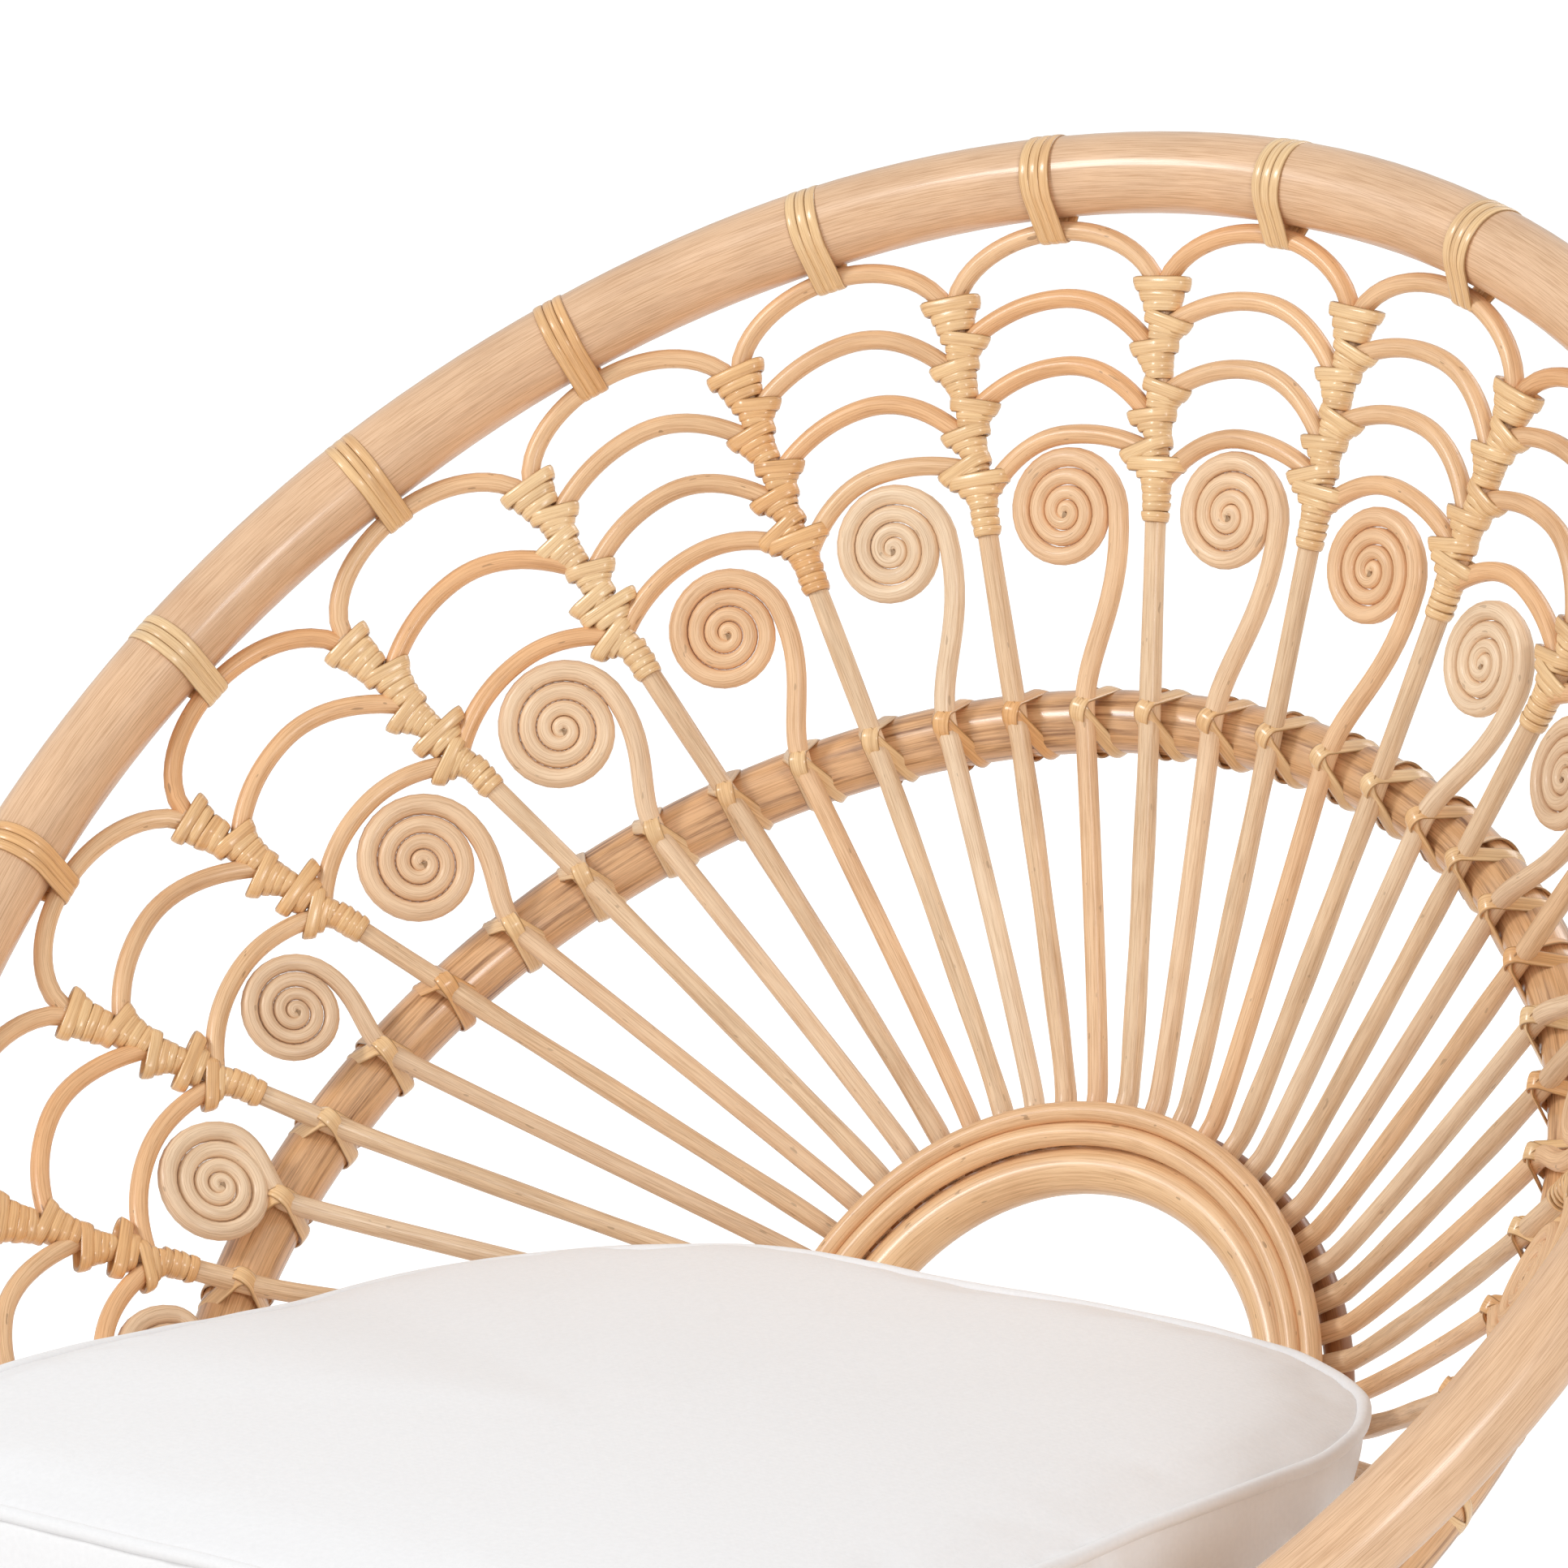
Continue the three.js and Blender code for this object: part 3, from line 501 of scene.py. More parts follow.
def set_grain(mesh, runs, closed, sides, seed, flat):
    """Stores where each corner lies along and across its cane, and presses flat strands into shape.

    The mesh holds the end caps first, from the last run to the first, then the rings of each run in order.
    """
    stations = []
    for number, (points, radii, faces, tone_share, dark) in enumerate(runs):
        length = steady(seed + number) * 7
        share = steady(seed * 3.7 + number * 1.3) if tone_share is None else tone_share
        rings = []
        for i, (place, radius) in enumerate(zip(points, radii)):
            before = points[i - 1] if i or closed else place
            after = points[(i + 1) % len(points)] if i + 1 < len(points) or closed else place
            face = faces[i] if faces else None
            length += (place - points[max(i - 1, 0)]).length * MM
            rings.append((place, radius, share, length, after - before, face, float(i >= len(points) - dark)))
        stations.append(rings)
    caps = [] if closed else [ring for rings in reversed(stations) for ring in (rings[-1], rings[0])]
    grain, tone, edge = [], [], []
    vertices = iter(mesh.vertices)
    in_order = caps + [ring for rings in stations for ring in rings]
    for place, radius, share, length, tangent, face, dark in in_order:
        if face is not None:
            across = tangent.cross(face).normalized()
            out = across.cross(tangent).normalized()
            centre = (place + HUB_CENTRE) * MM
        for side in range(sides):
            vertex = next(vertices)
            if face is None:
                angle = 2 * math.pi * side / sides
                grain += [radius * MM * math.cos(angle) + share, radius * MM * math.sin(angle), length]
                edge.append(dark)
            else:
                off = (vertex.co - centre) / (radius * MM)
                c, h = off.dot(across), off.dot(out)
                c, h = math.copysign(abs(c) ** 0.75, c), math.copysign(abs(h) ** 0.75, h)
                vertex.co = centre + (across * c * flat[0] + out * h * flat[1]) * radius * MM
                grain += [c * flat[0] * radius * MM + share, 0.0, length]
                # How near its edge a corner of a flat strand lies: the material darkens it there as painted
                # shade between strands
                edge.append(abs(c))
            tone.append(share)
    mesh.attributes.new("grain", "FLOAT_VECTOR", "POINT").data.foreach_set("vector", grain)
    mesh.attributes.new("tone", "FLOAT", "POINT").data.foreach_set("value", tone)
    mesh.attributes.new("edge", "FLOAT", "POINT").data.foreach_set("value", edge)


def dress(piece, slot, *nodes, body="chair"):
    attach(piece, body)
    if nodes:
        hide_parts(*nodes)
    return piece


def even(points, radius):
    return Cane(points, [radius] * len(points))


def mirrored(points):
    return [Vector((-p.x, p.y, p.z)) for p in points]


def line_points(start, end, steps=8):
    return [start.lerp(end, i / steps) for i in range(steps + 1)]


def numbered(name, first, last):
    return [f"{name}_{number:02d}" for number in range(first, last + 1)]


# Places of the seat and the legs, in mm from the hub centre
SEAT_DEPTH = 452
REAR_CORNER = 80
FRONT_CORNER = 60
LEG_SPLAY = 10
REAR_SPLAY = 26
REAR_RAKE = 74
FRAME_MID = SEAT_TOP - SEAT_POLE
FRAME_REAR = SEAT_TOP * math.tan(HUB_LEAN)
FRAME_FRONT = FRAME_REAR - SEAT_DEPTH
RING_END = math.acos((SEAT_TOP + GAP - RING["z"]) / (RING["length"] * math.cos(RING["lean"])))
FRAME_HALF = RING["width"] * math.sin(RING_END)
LEG_X = FRAME_HALF + SEAT_POLE + RIM_POLE + GAP
LEG_Y = FRAME_FRONT + FRONT_CORNER + RIM_POLE
FRONT_TOP = Vector((LEG_X, LEG_Y, FRAME_MID))
FRONT_FOOT = Vector((LEG_X + LEG_SPLAY, LEG_Y - LEG_SPLAY, FLOOR))
REAR_INSET = REAR_CORNER * (1 - math.sqrt(0.5))
REAR_TOP = Vector((FRAME_HALF - REAR_INSET, FRAME_REAR - REAR_INSET, FRAME_MID))
REAR_FOOT = Vector((REAR_TOP.x + REAR_SPLAY, REAR_TOP.y + REAR_RAKE, FLOOR))
GLIDE = dict(radius=11, height=6, edge=1.2)
LEG_BOTTOM = FLOOR + GLIDE["height"] + GAP


def at_height(start, end, height):
    return start.lerp(end, (height - start.z) / (end.z - start.z))


def frame_corner(x, y, radius, start, steps=12):
    angles = [start + math.pi / 2 * i / steps for i in range(steps + 1)]
    return [Vector((x + radius * math.cos(a), y + radius * math.sin(a), FRAME_MID)) for a in angles]


# How many steps the rim has in its arc, its bend and its leg, and how long the handles of the bend are
RIM_STEPS = dict(arc=66, bend=14, leg=24)
BEND_REACH = 42


def rim_half():
    """Half the rim pole from beside its top, over the arm and down to the foot."""
    end_angle = (LAST_COLUMN * 2 + 1.5) * RIM_STEP
    arc = [hoop_point(RIM, end_angle * i / RIM_STEPS["arc"]) for i in range(1, RIM_STEPS["arc"] + 1)]
    arriving = (arc[-1] - hoop_point(RIM, end_angle - RIM_STEP / 8)).normalized()
    down = (FRONT_FOOT - FRONT_TOP).normalized()
    handles = arc[-1] + arriving * BEND_REACH, FRONT_TOP - down * BEND_REACH
    bend = bezier(arc[-1], *handles, FRONT_TOP, RIM_STEPS["bend"])
    leg = line_points(FRONT_TOP, at_height(FRONT_TOP, FRONT_FOOT, LEG_BOTTOM), RIM_STEPS["leg"])
    return arc + bend[1:] + leg[1:]


class CHAIR_OT_outer_rim(bpy.types.Operator):
    """Bends the thick pole that rings the back, makes the arms and comes down as the front legs"""

    bl_idname = "chair.outer_rim"
    bl_label = "Outer rim pole"

    def execute(self, context):
        half = rim_half()
        whole = mirrored(half)[::-1] + [hoop_point(RIM, 0)] + half
        radius = context.scene.chair_sizes.rim_pole / 2 / MM
        radii = [radius + 0.25 * math.sin(i * 0.37) + 0.2 * math.sin(i * 0.11) for i in range(len(whole))]
        rim = lay_canes("outer_rim", [Cane(whole, radii, tone=0.42)], "pole", rounding=14, seed=2)
        dress(rim, "poles", "outer_rim_pole")
        return {"FINISHED"}


class CHAIR_OT_inner_ring(bpy.types.Operator):
    """Bends the darker pole that the spokes are lashed to"""

    bl_idname = "chair.inner_ring"
    bl_label = "Inner ring pole"

    def execute(self, context):
        points = [hoop_point(RING, RING_END * (i / 60 - 1)) for i in range(121)]
        radius = context.scene.chair_sizes.ring_pole / 2 / MM
        radii = [radius + 0.15 * math.sin(i * 0.41) for i in range(121)]
        ring = lay_canes("inner_ring", [Cane(points, radii, tone=0.5)], "ring", rounding=12, seed=5)
        dress(ring, "ring", "inner_ring_pole")
        return {"FINISHED"}


class CHAIR_OT_hub(bpy.types.Operator):
    """Bends the arches round the hole at the foot of the fan"""

    bl_idname = "chair.hub"
    bl_label = "Hub arches"

    def execute(self, context):
        pole = self.arc(HUB_RADIUS, 0, context.scene.chair_sizes.hub_pole / 2 / MM)
        dress(lay_canes("hub_pole", [pole], "hub", rounding=10, seed=8), "poles", "hub_arch_pole")
        inner, outer, back = (self.arc(*HUB_CANES[key]) for key in ("inner", "outer", "back"))
        canes = lay_canes("hub_canes", [inner, outer], "arch", rounding=6, seed=11)
        dress(canes, "canes", "hub_cane_inner", "hub_cane_outer")
        # The hidden back arch takes the dark brown finish that is painted shade behind the hub
        dress(lay_canes("hub_back", [back], "back", rounding=6, seed=12), "canes", "hub_back_arch")
        return {"FINISHED"}

    def arc(self, radius, forward, thickness, steps=40):
        """An arch round the hole, with both ends on the seat hoop."""
        drop = SEAT_TOP + HUB_DROP - forward * math.sin(HUB_LEAN) + GAP
        limit = math.acos(drop / (radius * math.cos(HUB_LEAN)))
        angles = [limit * (i / steps - 1) for i in range(2 * steps + 1)]
        return even([hub_point(radius, angle, forward) for angle in angles], thickness)


class CHAIR_OT_straight_spokes(bpy.types.Operator):
    """Lays the straight spokes from the hub over the ring into the valleys between the arches"""

    bl_idname = "chair.straight_spokes"
    bl_label = "Straight spokes"

    def execute(self, context):
        radius = context.scene.chair_sizes.spoke / 2 / MM
        runs = []
        for number in range(2 * LAST_COLUMN + 2):
            valley = number - LAST_COLUMN - 0.5
            line = FanLine.at(valley)
            path = spoke_root(valley)
            top = fan_point(valley, 24)
            path += [line.crossing.lerp(top, i / 12) for i in range(1, 13)]
            radii = [radius + 0.18 * math.sin(i * 0.8 + number) for i in range(len(path))]
            runs.append(Cane(path, radii))
        dress(lay_canes("straight_spokes", runs, "stave", rounding=4, seed=20), "lattice",
              *numbered("lattice_stave", 1, 2 * LAST_COLUMN + 2))
        return {"FINISHED"}


def distance_to_path(point, path):
    least = math.inf
    for start, end in zip(path, path[1:]):
        share = intersect_point_line(point, start, end)[1]
        nearest = start.lerp(end, min(1.0, max(0.0, share)))
        least = min(least, (point - nearest).length)
    return least


def curl_run(column, width):
    """A spoke that leans to the right and rolls up under the lowest arch of its column."""
    line = FanLine.at(column)
    path = spoke_root(column)
    tiers = tiers_at(column)
    lowest = arch_points(column, len(tiers) - 1)
    depth = tiers[-1] + 24
    room = min((fan_point(column, depth) - FanLine.at(v).crossing).cross(FanLine.at(v).up).length
               for v in (column - 0.5, column + 0.5)) - 7
    outer = min(width / 2 * CURL_SHARES.get(column, 1), room)
    start, end = 0.15 * outer, 0.085 * outer
    for _ in range(8):
        depth += outer - 1.6 + 4.2 - distance_to_path(fan_point(column, depth), lowest)
    depth += CURL_DROPS.get(column, 0)
    centre = fan_point(column, depth) - line.right * 3

    def place(radius, angle):
        return centre + line.right * radius * math.cos(angle) + line.up * radius * math.sin(angle)

    entry = place(outer - start, 0)
    rise = line.length - depth
    stem = bezier(line.crossing, line.crossing + line.up * rise / 3, entry - line.up * rise / 2, entry, 14)
    radii = [4.3] * len(path) + [lerp(4.3, start, i / 14) for i in range(1, 15)]
    path += stem[1:]
    reach, per_turn, i = outer - start, 30, 0
    while reach > -end / 2:
        i += 1
        radius = max(end, start * math.exp(-0.15 * i / per_turn))
        reach -= (2 * radius + 0.1) / per_turn
        path.append(place(max(reach, end / 2), 2 * math.pi * i / per_turn))
        radii.append(radius)
    return Cane(path, radii, dark=7)


class CHAIR_OT_curl_spokes(bpy.types.Operator):
    """Lays the spokes that lean aside over the ring and roll up into flat curls"""

    bl_idname = "chair.curl_spokes"
    bl_label = "Curl spokes"

    def execute(self, context):
        width = context.scene.chair_sizes.curl / MM
        runs = [curl_run(number - LAST_COLUMN, width) for number in range(2 * LAST_COLUMN + 1)]
        dress(lay_canes("curl_spokes", runs, "spoke", rounding=3, seed=47), "spokes",
              *numbered("curl_spoke", 1, 2 * LAST_COLUMN + 1))
        return {"FINISHED"}


def arch_points(column, tier, steps=26):
    """The top arch is half an ellipse. The others are flatter, with one foot lower than the other."""
    tiers = tiers_at(column)
    drops = (15, 27) if tier < len(tiers) - 1 else (13, 18) if column < -2 else (23, 10)
    points = []
    for i in range(steps + 1):
        across = lerp(-0.985, 0.985, i / steps)
        if tier == 0:
            drop = (31 if across < 0 else 34) * (1 - math.sqrt(1 - across ** 2))
        else:
            drop = drops[across > 0] * abs(across) ** 2.1
        points.append(fan_point(column + across / 2, tiers[tier] + drop))
    return points


class CHAIR_OT_arches(bpy.types.Operator):
    """Bends the tiers of thin arches that span each column of the fan"""

    bl_idname = "chair.arches"
    bl_label = "Arches"

    def execute(self, context):
        runs = []
        for column in range(-LAST_COLUMN, LAST_COLUMN + 1):
            for tier in range(len(tiers_at(column))):
                runs.append(even(arch_points(column, tier), context.scene.chair_sizes.arch / 2 / MM))
        dress(lay_canes("arches", runs, "arch", rounding=4, seed=71), "lattice")
        return {"FINISHED"}


Turn = namedtuple("Turn", "depth left right slope width")
# Half width of a strand of binding peel as a share of its radius
PEEL_HALF_WIDTH = 2.15


def binding_turns(valley):
    """The turns of peel down a valley, each with its depth, its reach to both sides, its slope and its width.

    Each row of arches has a group of turns round its foot on the right and one round that on the left. A turn
    sags towards the foot that it holds. The first turn of a group is the widest and reaches furthest out.
    """
    tiers = tiers_at(valley)
    low = tiers[-1]
    groups = [(23.4, 0, 11.8, 11.8, 8.6, 8.6, 0.0)] if tiers is TALL else [(28, 0, 10.5, 10.5, 8, 8, 0.0)]
    for start, after in zip(tiers[1:], tiers[2:]):
        groups.append((start + 9.8, 1, 6.2, 13, 6.2, 8.2, 0.31))
        groups.append((start + 9.8 + (after - start) * 0.42, -1, 12.4, 7.0, 6.4, 6.2, -0.13))
    if valley < -3:
        groups.append((low + 0.6, 1, 11.5, 13, 8, 7, 0.03))
        groups.append((low + 10, -1, 15, 5.8, 6.6, 5.8, -0.36))
    else:
        groups.append((low + 5.6, -1, 16.4, 5.6, 12, 6, -0.36))
        groups.append((low + 13.2, 1, 12.6, 13, 6.4, 6.4, 0.03))
    collar = groups[-1][0] + 10.4
    turns = []
    for (start, side, *reach, slope), after in zip(groups, groups[1:] + [(collar + 1.4,)]):
        turns.append(Turn(start, reach[0] + 0.6, reach[1] + 0.6, slope, 6.2))
        room = after[0] - 2.6 - (start + 2.6)
        number = max(1, round(room / 3.8))
        for i in range(number):
            share = (i + 0.5) / number
            left, right = (lerp(reach[hand], reach[hand + 2], share ** 0.7) - 1 for hand in (0, 1))
            depth = start + 2.6 + room * share
            turns.append(Turn(depth, left, right, slope * (1 - 0.5 * share), room / number + 0.7))
    turns += [Turn(collar + 3.6 * i, 5.9 - 0.1 * i, 5.9 - 0.1 * i, 0.02, 4.3) for i in range(4)]
    return turns


class CHAIR_OT_valley_bindings(bpy.types.Operator):
    """Winds peel round the feet of the arches in every valley of the fan"""

    bl_idname = "chair.valley_bindings"
    bl_label = "Valley bindings"

    def execute(self, context):
        runs = []
        for number in range(2 * LAST_COLUMN + 2):
            valley = number - LAST_COLUMN - 0.5
            tone = steady(number * 3.1)
            for i, turn in enumerate(binding_turns(valley)):
                runs.append(self.wind(valley, turn, steady(number * 31 + i) - 0.5, tone))
        flat = (PEEL_HALF_WIDTH, 0.75)
        bindings = lay_canes("valley_bindings", runs, "peel", closed=True, rounding=2, seed=131, flat=flat)
        dress(bindings, "lattice")
        return {"FINISHED"}

    def wind(self, valley, turn, jitter, tone):
        """One turn round the spoke and the feet at its sides, tipped so that it overlaps the turn below."""
        line = FanLine.at(valley)
        across = (line.right - line.up * (turn.slope + 0.05 * jitter)).normalized()
        left, right = turn.left + 0.5 * jitter, turn.right - 0.5 * jitter
        core = min(left, right, 5.8)
        thin = min(4.4, core - 0.7)
        held = [(0, 0, core - 0.6, 5.2), (4.8 - left, 0, 4.2, thin), (right - 4.8, 0, 4.2, thin)]
        loop, faces = hull_loop(fan_point(valley, turn.depth + 0.5 * jitter), across, line.front, held, 28)
        down = across.cross(line.front).normalized()
        if down.dot(line.up) > 0:
            down = -down
        wide = 1 if right > left else -1
        tips = [0.1 + 0.25 * max(0.0, face.dot(across) * wide) for face in faces]
        tipped = [(face + down * tip).normalized() for face, tip in zip(faces, tips)]
        width = turn.width / 2 / PEEL_HALF_WIDTH * (1 + 0.12 * jitter)
        return Cane(loop, [width] * len(loop), tipped, tone + 0.25 * jitter)


def hull_loop(centre, first, second, ellipses, steps=40):
    """A taut loop round ellipses that lie in one plane, and the directions that it faces.

    Each ellipse is its place and half sizes along the two directions.
    """
    loop, faces = [], []
    for i in range(steps):
        angle = 2 * math.pi * i / steps
        c, s = math.cos(angle), math.sin(angle)
        best = None
        for x, y, a, b in ellipses:
            h = math.sqrt((a * c) ** 2 + (b * s) ** 2)
            support = x * c + y * s + h
            if best is None or support > best[0]:
                best = (support, x + a * a * c / h, y + b * b * s / h)
        loop.append(centre + first * best[1] + second * best[2])
        faces.append(first * c + second * s)
    return loop, faces


# How far some wraps slipped along the rim from the middle of their column
WRAP_SHIFTS = {0: 7, 1: 8, -3: -7}
STRAND_GAP = 4.4
# What a wrap goes round: the rim pole and the arch under it, as places and half sizes
WRAPPED = [(0, 0, 17.3, 17.3), (21.4, 0, 4.3, 4.3)]


class CHAIR_OT_rim_wraps(bpy.types.Operator):
    """Ties the topmost arch of each column to the rim with flat turns of peel"""

    bl_idname = "chair.rim_wraps"
    bl_label = "Rim wraps"

    def execute(self, context):
        runs = []
        for column in range(2 - LAST_COLUMN, LAST_COLUMN - 1):
            line = FanLine.at(column)
            along = line.rim_tangent
            inward = (-line.up + along * line.up.dot(along)).normalized()
            side = along.cross(inward)
            tone = steady(column * 5.3 + 2)
            for strand in range(3):
                loop, faces = hull_loop(line.rim_centre, inward, side, WRAPPED, 44)
                offset = (strand - 1) * STRAND_GAP
                drawn = [offset * (1 - 0.14 * max(0.0, face.dot(inward))) for face in faces]
                slip = WRAP_SHIFTS.get(column, 0)
                loop = [place + along * (slip + way) for place, way in zip(loop, drawn)]
                runs.append(Cane(loop, [1.0] * len(loop), faces, tone + 0.06 * (strand - 1)))
        wraps = lay_canes("rim_wraps", runs, "peel", closed=True, rounding=3, seed=211, flat=(2.25, 0.8))
        dress(wraps, "lattice")
        return {"FINISHED"}


# How the two strands of a lashing lean from the spoke, in radians, and how far each is lifted at the front
LASHING_WAYS = ((-0.5, 0.0), (0.36, 0.9))
# How far the strands lie from the middle of the ring
RING_WRAP = 13.4


class CHAIR_OT_ring_lashings(bpy.types.Operator):
    """Lashes each spoke to the ring with two crossed strands of peel"""

    bl_idname = "chair.ring_lashings"
    bl_label = "Ring lashings"

    def execute(self, context):
        runs = []
        for number in range(4 * LAST_COLUMN + 3):
            line = FanLine.at(number / 2 - LAST_COLUMN - 0.5)
            spoke_way = (line.up - line.front * line.up.dot(line.front)).normalized()
            tone = steady(number * 2.3 + 7)
            for lean, lift in LASHING_WAYS:
                across = (spoke_way * math.cos(lean) + line.ring_tangent * math.sin(lean)).normalized()
                held = [(0, 0, RING_WRAP / math.cos(lean), RING_WRAP), (0, SPOKE_LIFT, 5.2, 5.0)]
                loop, faces = hull_loop(line.ring_centre, across, line.front, held, 44)
                raised = []
                for place in loop:
                    ahead = max(0.0, (place - line.ring_centre).dot(line.front) - 5) / 17
                    raised.append(place + line.front * lift * ahead + spoke_way * 4.5 * ahead)
                radii = [1.1 + 0.25 * max(0.0, face.dot(line.front)) for face in faces]
                runs.append(Cane(raised, radii, faces, tone))
        flat = (2.8, 0.55)
        lashings = lay_canes("ring_lashings", runs, "peel", closed=True, rounding=3, seed=301, flat=flat)
        dress(lashings, "ring")
        return {"FINISHED"}


SLATS = 5
SLAT_RADIUS = 8


class CHAIR_OT_seat(bpy.types.Operator):
    """Bends the seat hoop and lays the slats across it"""

    bl_idname = "chair.seat"
    bl_label = "Seat frame and slats"

    def execute(self, context):
        rear_x, front_x = FRAME_HALF - REAR_CORNER, FRAME_HALF - FRONT_CORNER
        rear_y, front_y = FRAME_REAR - REAR_CORNER, FRAME_FRONT + FRONT_CORNER
        hoop = (frame_corner(rear_x, rear_y, REAR_CORNER, 0)
                + frame_corner(-rear_x, rear_y, REAR_CORNER, math.pi / 2)
                + frame_corner(-front_x, front_y, FRONT_CORNER, math.pi)
                + frame_corner(front_x, front_y, FRONT_CORNER, 1.5 * math.pi))
        points = []
        for here, after in zip(hoop, hoop[1:] + hoop[:1]):
            parts = max(1, round((after - here).length / 20))
            points += [here.lerp(after, i / parts) for i in range(parts)]
        run = even(points, SEAT_POLE)
        dress(lay_canes("seat_hoop", [run], "pole", closed=True, rounding=10, seed=401), "poles", "seat_frame")
        runs = []
        half, height = FRAME_HALF - SLAT_RADIUS, SEAT_TOP - SLAT_RADIUS
        for number in range(1, SLATS + 1):
            y = FRAME_REAR - SEAT_DEPTH * number / (SLATS + 1)
            path = line_points(Vector((-half, y, height)), Vector((half, y, height)), 20)
            runs.append(even(path, SLAT_RADIUS))
        slats = lay_canes("seat_slats", runs, "spoke", rounding=6, seed=411)
        dress(slats, "canes", *[f"seat_slat_{number}" for number in range(1, SLATS + 1)])
        return {"FINISHED"}


def both_sides(start, end):
    return [(start, end), tuple(mirrored([start, end]))]


# The rear legs and the stretchers: radii, how far the legs start below the hoop, and heights over the floor
REAR_LEG_RADIUS = 15
LEG_INSET = 12
RAIL_RADIUS = 10
LOW_RAIL = 118
HIGH_RAIL = 144


class CHAIR_OT_stand(bpy.types.Operator):
    """Makes the rear legs, the stretchers and the glides under the feet"""

    bl_idname = "chair.stand"
    bl_label = "Legs, stretchers and glides"

    def execute(self, context):
        legs = []
        for top, foot in both_sides(REAR_TOP, REAR_FOOT):
            down = (foot - top).normalized()
            path = line_points(top + down * LEG_INSET, at_height(top, foot, LEG_BOTTOM), 20)
            legs.append(even(path, REAR_LEG_RADIUS))
        dress(lay_canes("rear_legs", legs, "pole", rounding=10, seed=501), "poles",
              "rear_leg_left", "rear_leg_right")
        low, high = FLOOR + LOW_RAIL, FLOOR + HIGH_RAIL
        front, rear = at_height(FRONT_TOP, FRONT_FOOT, low), at_height(REAR_TOP, REAR_FOOT, low)
        rails = [(start, mirrored([start])[0]) for start in (front, rear)]
        rails += both_sides(at_height(FRONT_TOP, FRONT_FOOT, high), at_height(REAR_TOP, REAR_FOOT, high))
        runs = []
        for start, end in rails:
            way = (end - start).normalized()
            runs.append(even(line_points(start + way * 14, end - way * 13, 20), RAIL_RADIUS))
        dress(lay_canes("stretchers", runs, "pole", rounding=8, seed=511), "poles",
              "stretcher_front", "stretcher_rear", "stretcher_left", "stretcher_right")
        for side, mirror in (("right", False), ("left", True)):
            for end, leg in (("front", [FRONT_TOP, FRONT_FOOT]), ("rear", [REAR_TOP, REAR_FOOT])):
                top, foot = mirrored(leg) if mirror else leg
                self.glide(f"{end}_{side}", at_height(top, foot, FLOOR + GLIDE["height"]))
        return {"FINISHED"}

    def glide(self, key, place):
        """A round cap under a foot, with its edge rounded."""
        bpy.ops.object.select_all(action="DESELECT")
        radius, height = GLIDE["radius"], GLIDE["height"]
        bpy.ops.mesh.primitive_cylinder_add(vertices=40, radius=radius * MM, depth=height * MM)
        cap = bpy.context.object
        cap.name = f"glide_cap_{key}"
        bevel = cap.modifiers.new("rounded edge", "BEVEL")
        bevel.width, bevel.segments = GLIDE["edge"] * MM, 3
        bpy.ops.object.modifier_apply(modifier=bevel.name)
        cap.data.transform(Matrix.Translation((place + HUB_CENTRE - Vector((0, 0, height / 2))) * MM))
        cap.data.materials.append(material("glide"))
        bpy.ops.object.shade_smooth_by_angle(angle=math.radians(40))
        dress(cap, "glide", f"glide_{key}")


# Cushion in mm from the hub centre: edges of its top, half widths, corners, and heights of edge and underside
CUSHION = dict(
    rear=-17, front=-496, rear_right=243, rear_left=232, front_half=234,
    right_corner=118, left_corner=165, front_corner=60, top=66, bottom=-37.6,
)
# The side wall, as height shares and insets, and the crown, as shares of the way to the edge and rises over it
WALL_LEVELS = (
    (0.0, 30), (0.0, 18), (0.03, 9), (0.1, 4), (0.3, 0), (0.6, -1), (0.86, 1.5), (0.95, 3), (0.99, 6),
)
CROWN_RISES = ((0.93, 0.15), (0.8, 2.6), (0.6, 5.4), (0.3, 7.4), (0.1, 7.8))
# How the underside shifts forward and tucks in at the rear, where the hub and the ring lean over it
LEAN = dict(shift=30, tuck=44, from_y=-260, length=243)
FILL_FRAMES = 20
FILL_LIMIT = 5


def cushion_outline(inset=0.0, steps=26):
    """The upper edge of the cushion seen from above, anticlockwise from its right rear corner."""
    rear, front = CUSHION["rear"] - inset, CUSHION["front"] + inset
    points = []
    for x, y, corner, start in (
        (CUSHION["rear_right"] - inset, rear, CUSHION["right_corner"], 0),
        (inset - CUSHION["rear_left"], rear, CUSHION["left_corner"], math.pi / 2),
        (inset - CUSHION["front_half"], front, CUSHION["front_corner"], math.pi),
        (CUSHION["front_half"] - inset, front, CUSHION["front_corner"], math.pi * 1.5),
    ):
        centre = Vector((x - math.copysign(corner, x), y - math.copysign(corner, 1 if y == rear else -1), 0))
        for i in range(steps + 1):
            angle = start + math.pi / 2 * i / steps
            points.append(centre + Vector((math.cos(angle), math.sin(angle), 0)) * corner)
    return spaced(points, 8)


def spaced(points, gap):
    """The same closed path with points about one gap apart."""
    path = []
    for here, after in zip(points, points[1:] + points[:1]):
        parts = max(1, round((after - here).length / gap))
        path += [here.lerp(after, i / parts) for i in range(parts) if (after - here).length > 0.01]
    return path


def bump(place, x, y, wide, deep):
    return math.exp(-((place.x - x) / wide) ** 2 - ((place.y - y) / deep) ** 2)


def sag(place):
    """Height of the upper edge over its mean: the left rear corner sinks and the rear edge waves softly."""
    corner = -8 * bump(place, -190, -70, 70, 90) - 8.5 * bump(place, -232, -180, 50, 75)
    side = 7 * bump(place, -232, -370, 90, 80)
    wave = 1.6 * math.sin(place.x / 34 + 0.6)
    rear = wave - 2.2 * bump(place, 0, 0, 35, 500) + 3.5 * bump(place, 120, 0, 60, 500)
    return corner + side + rear * max(0.0, min(1.0, (place.y + 120) / 80))


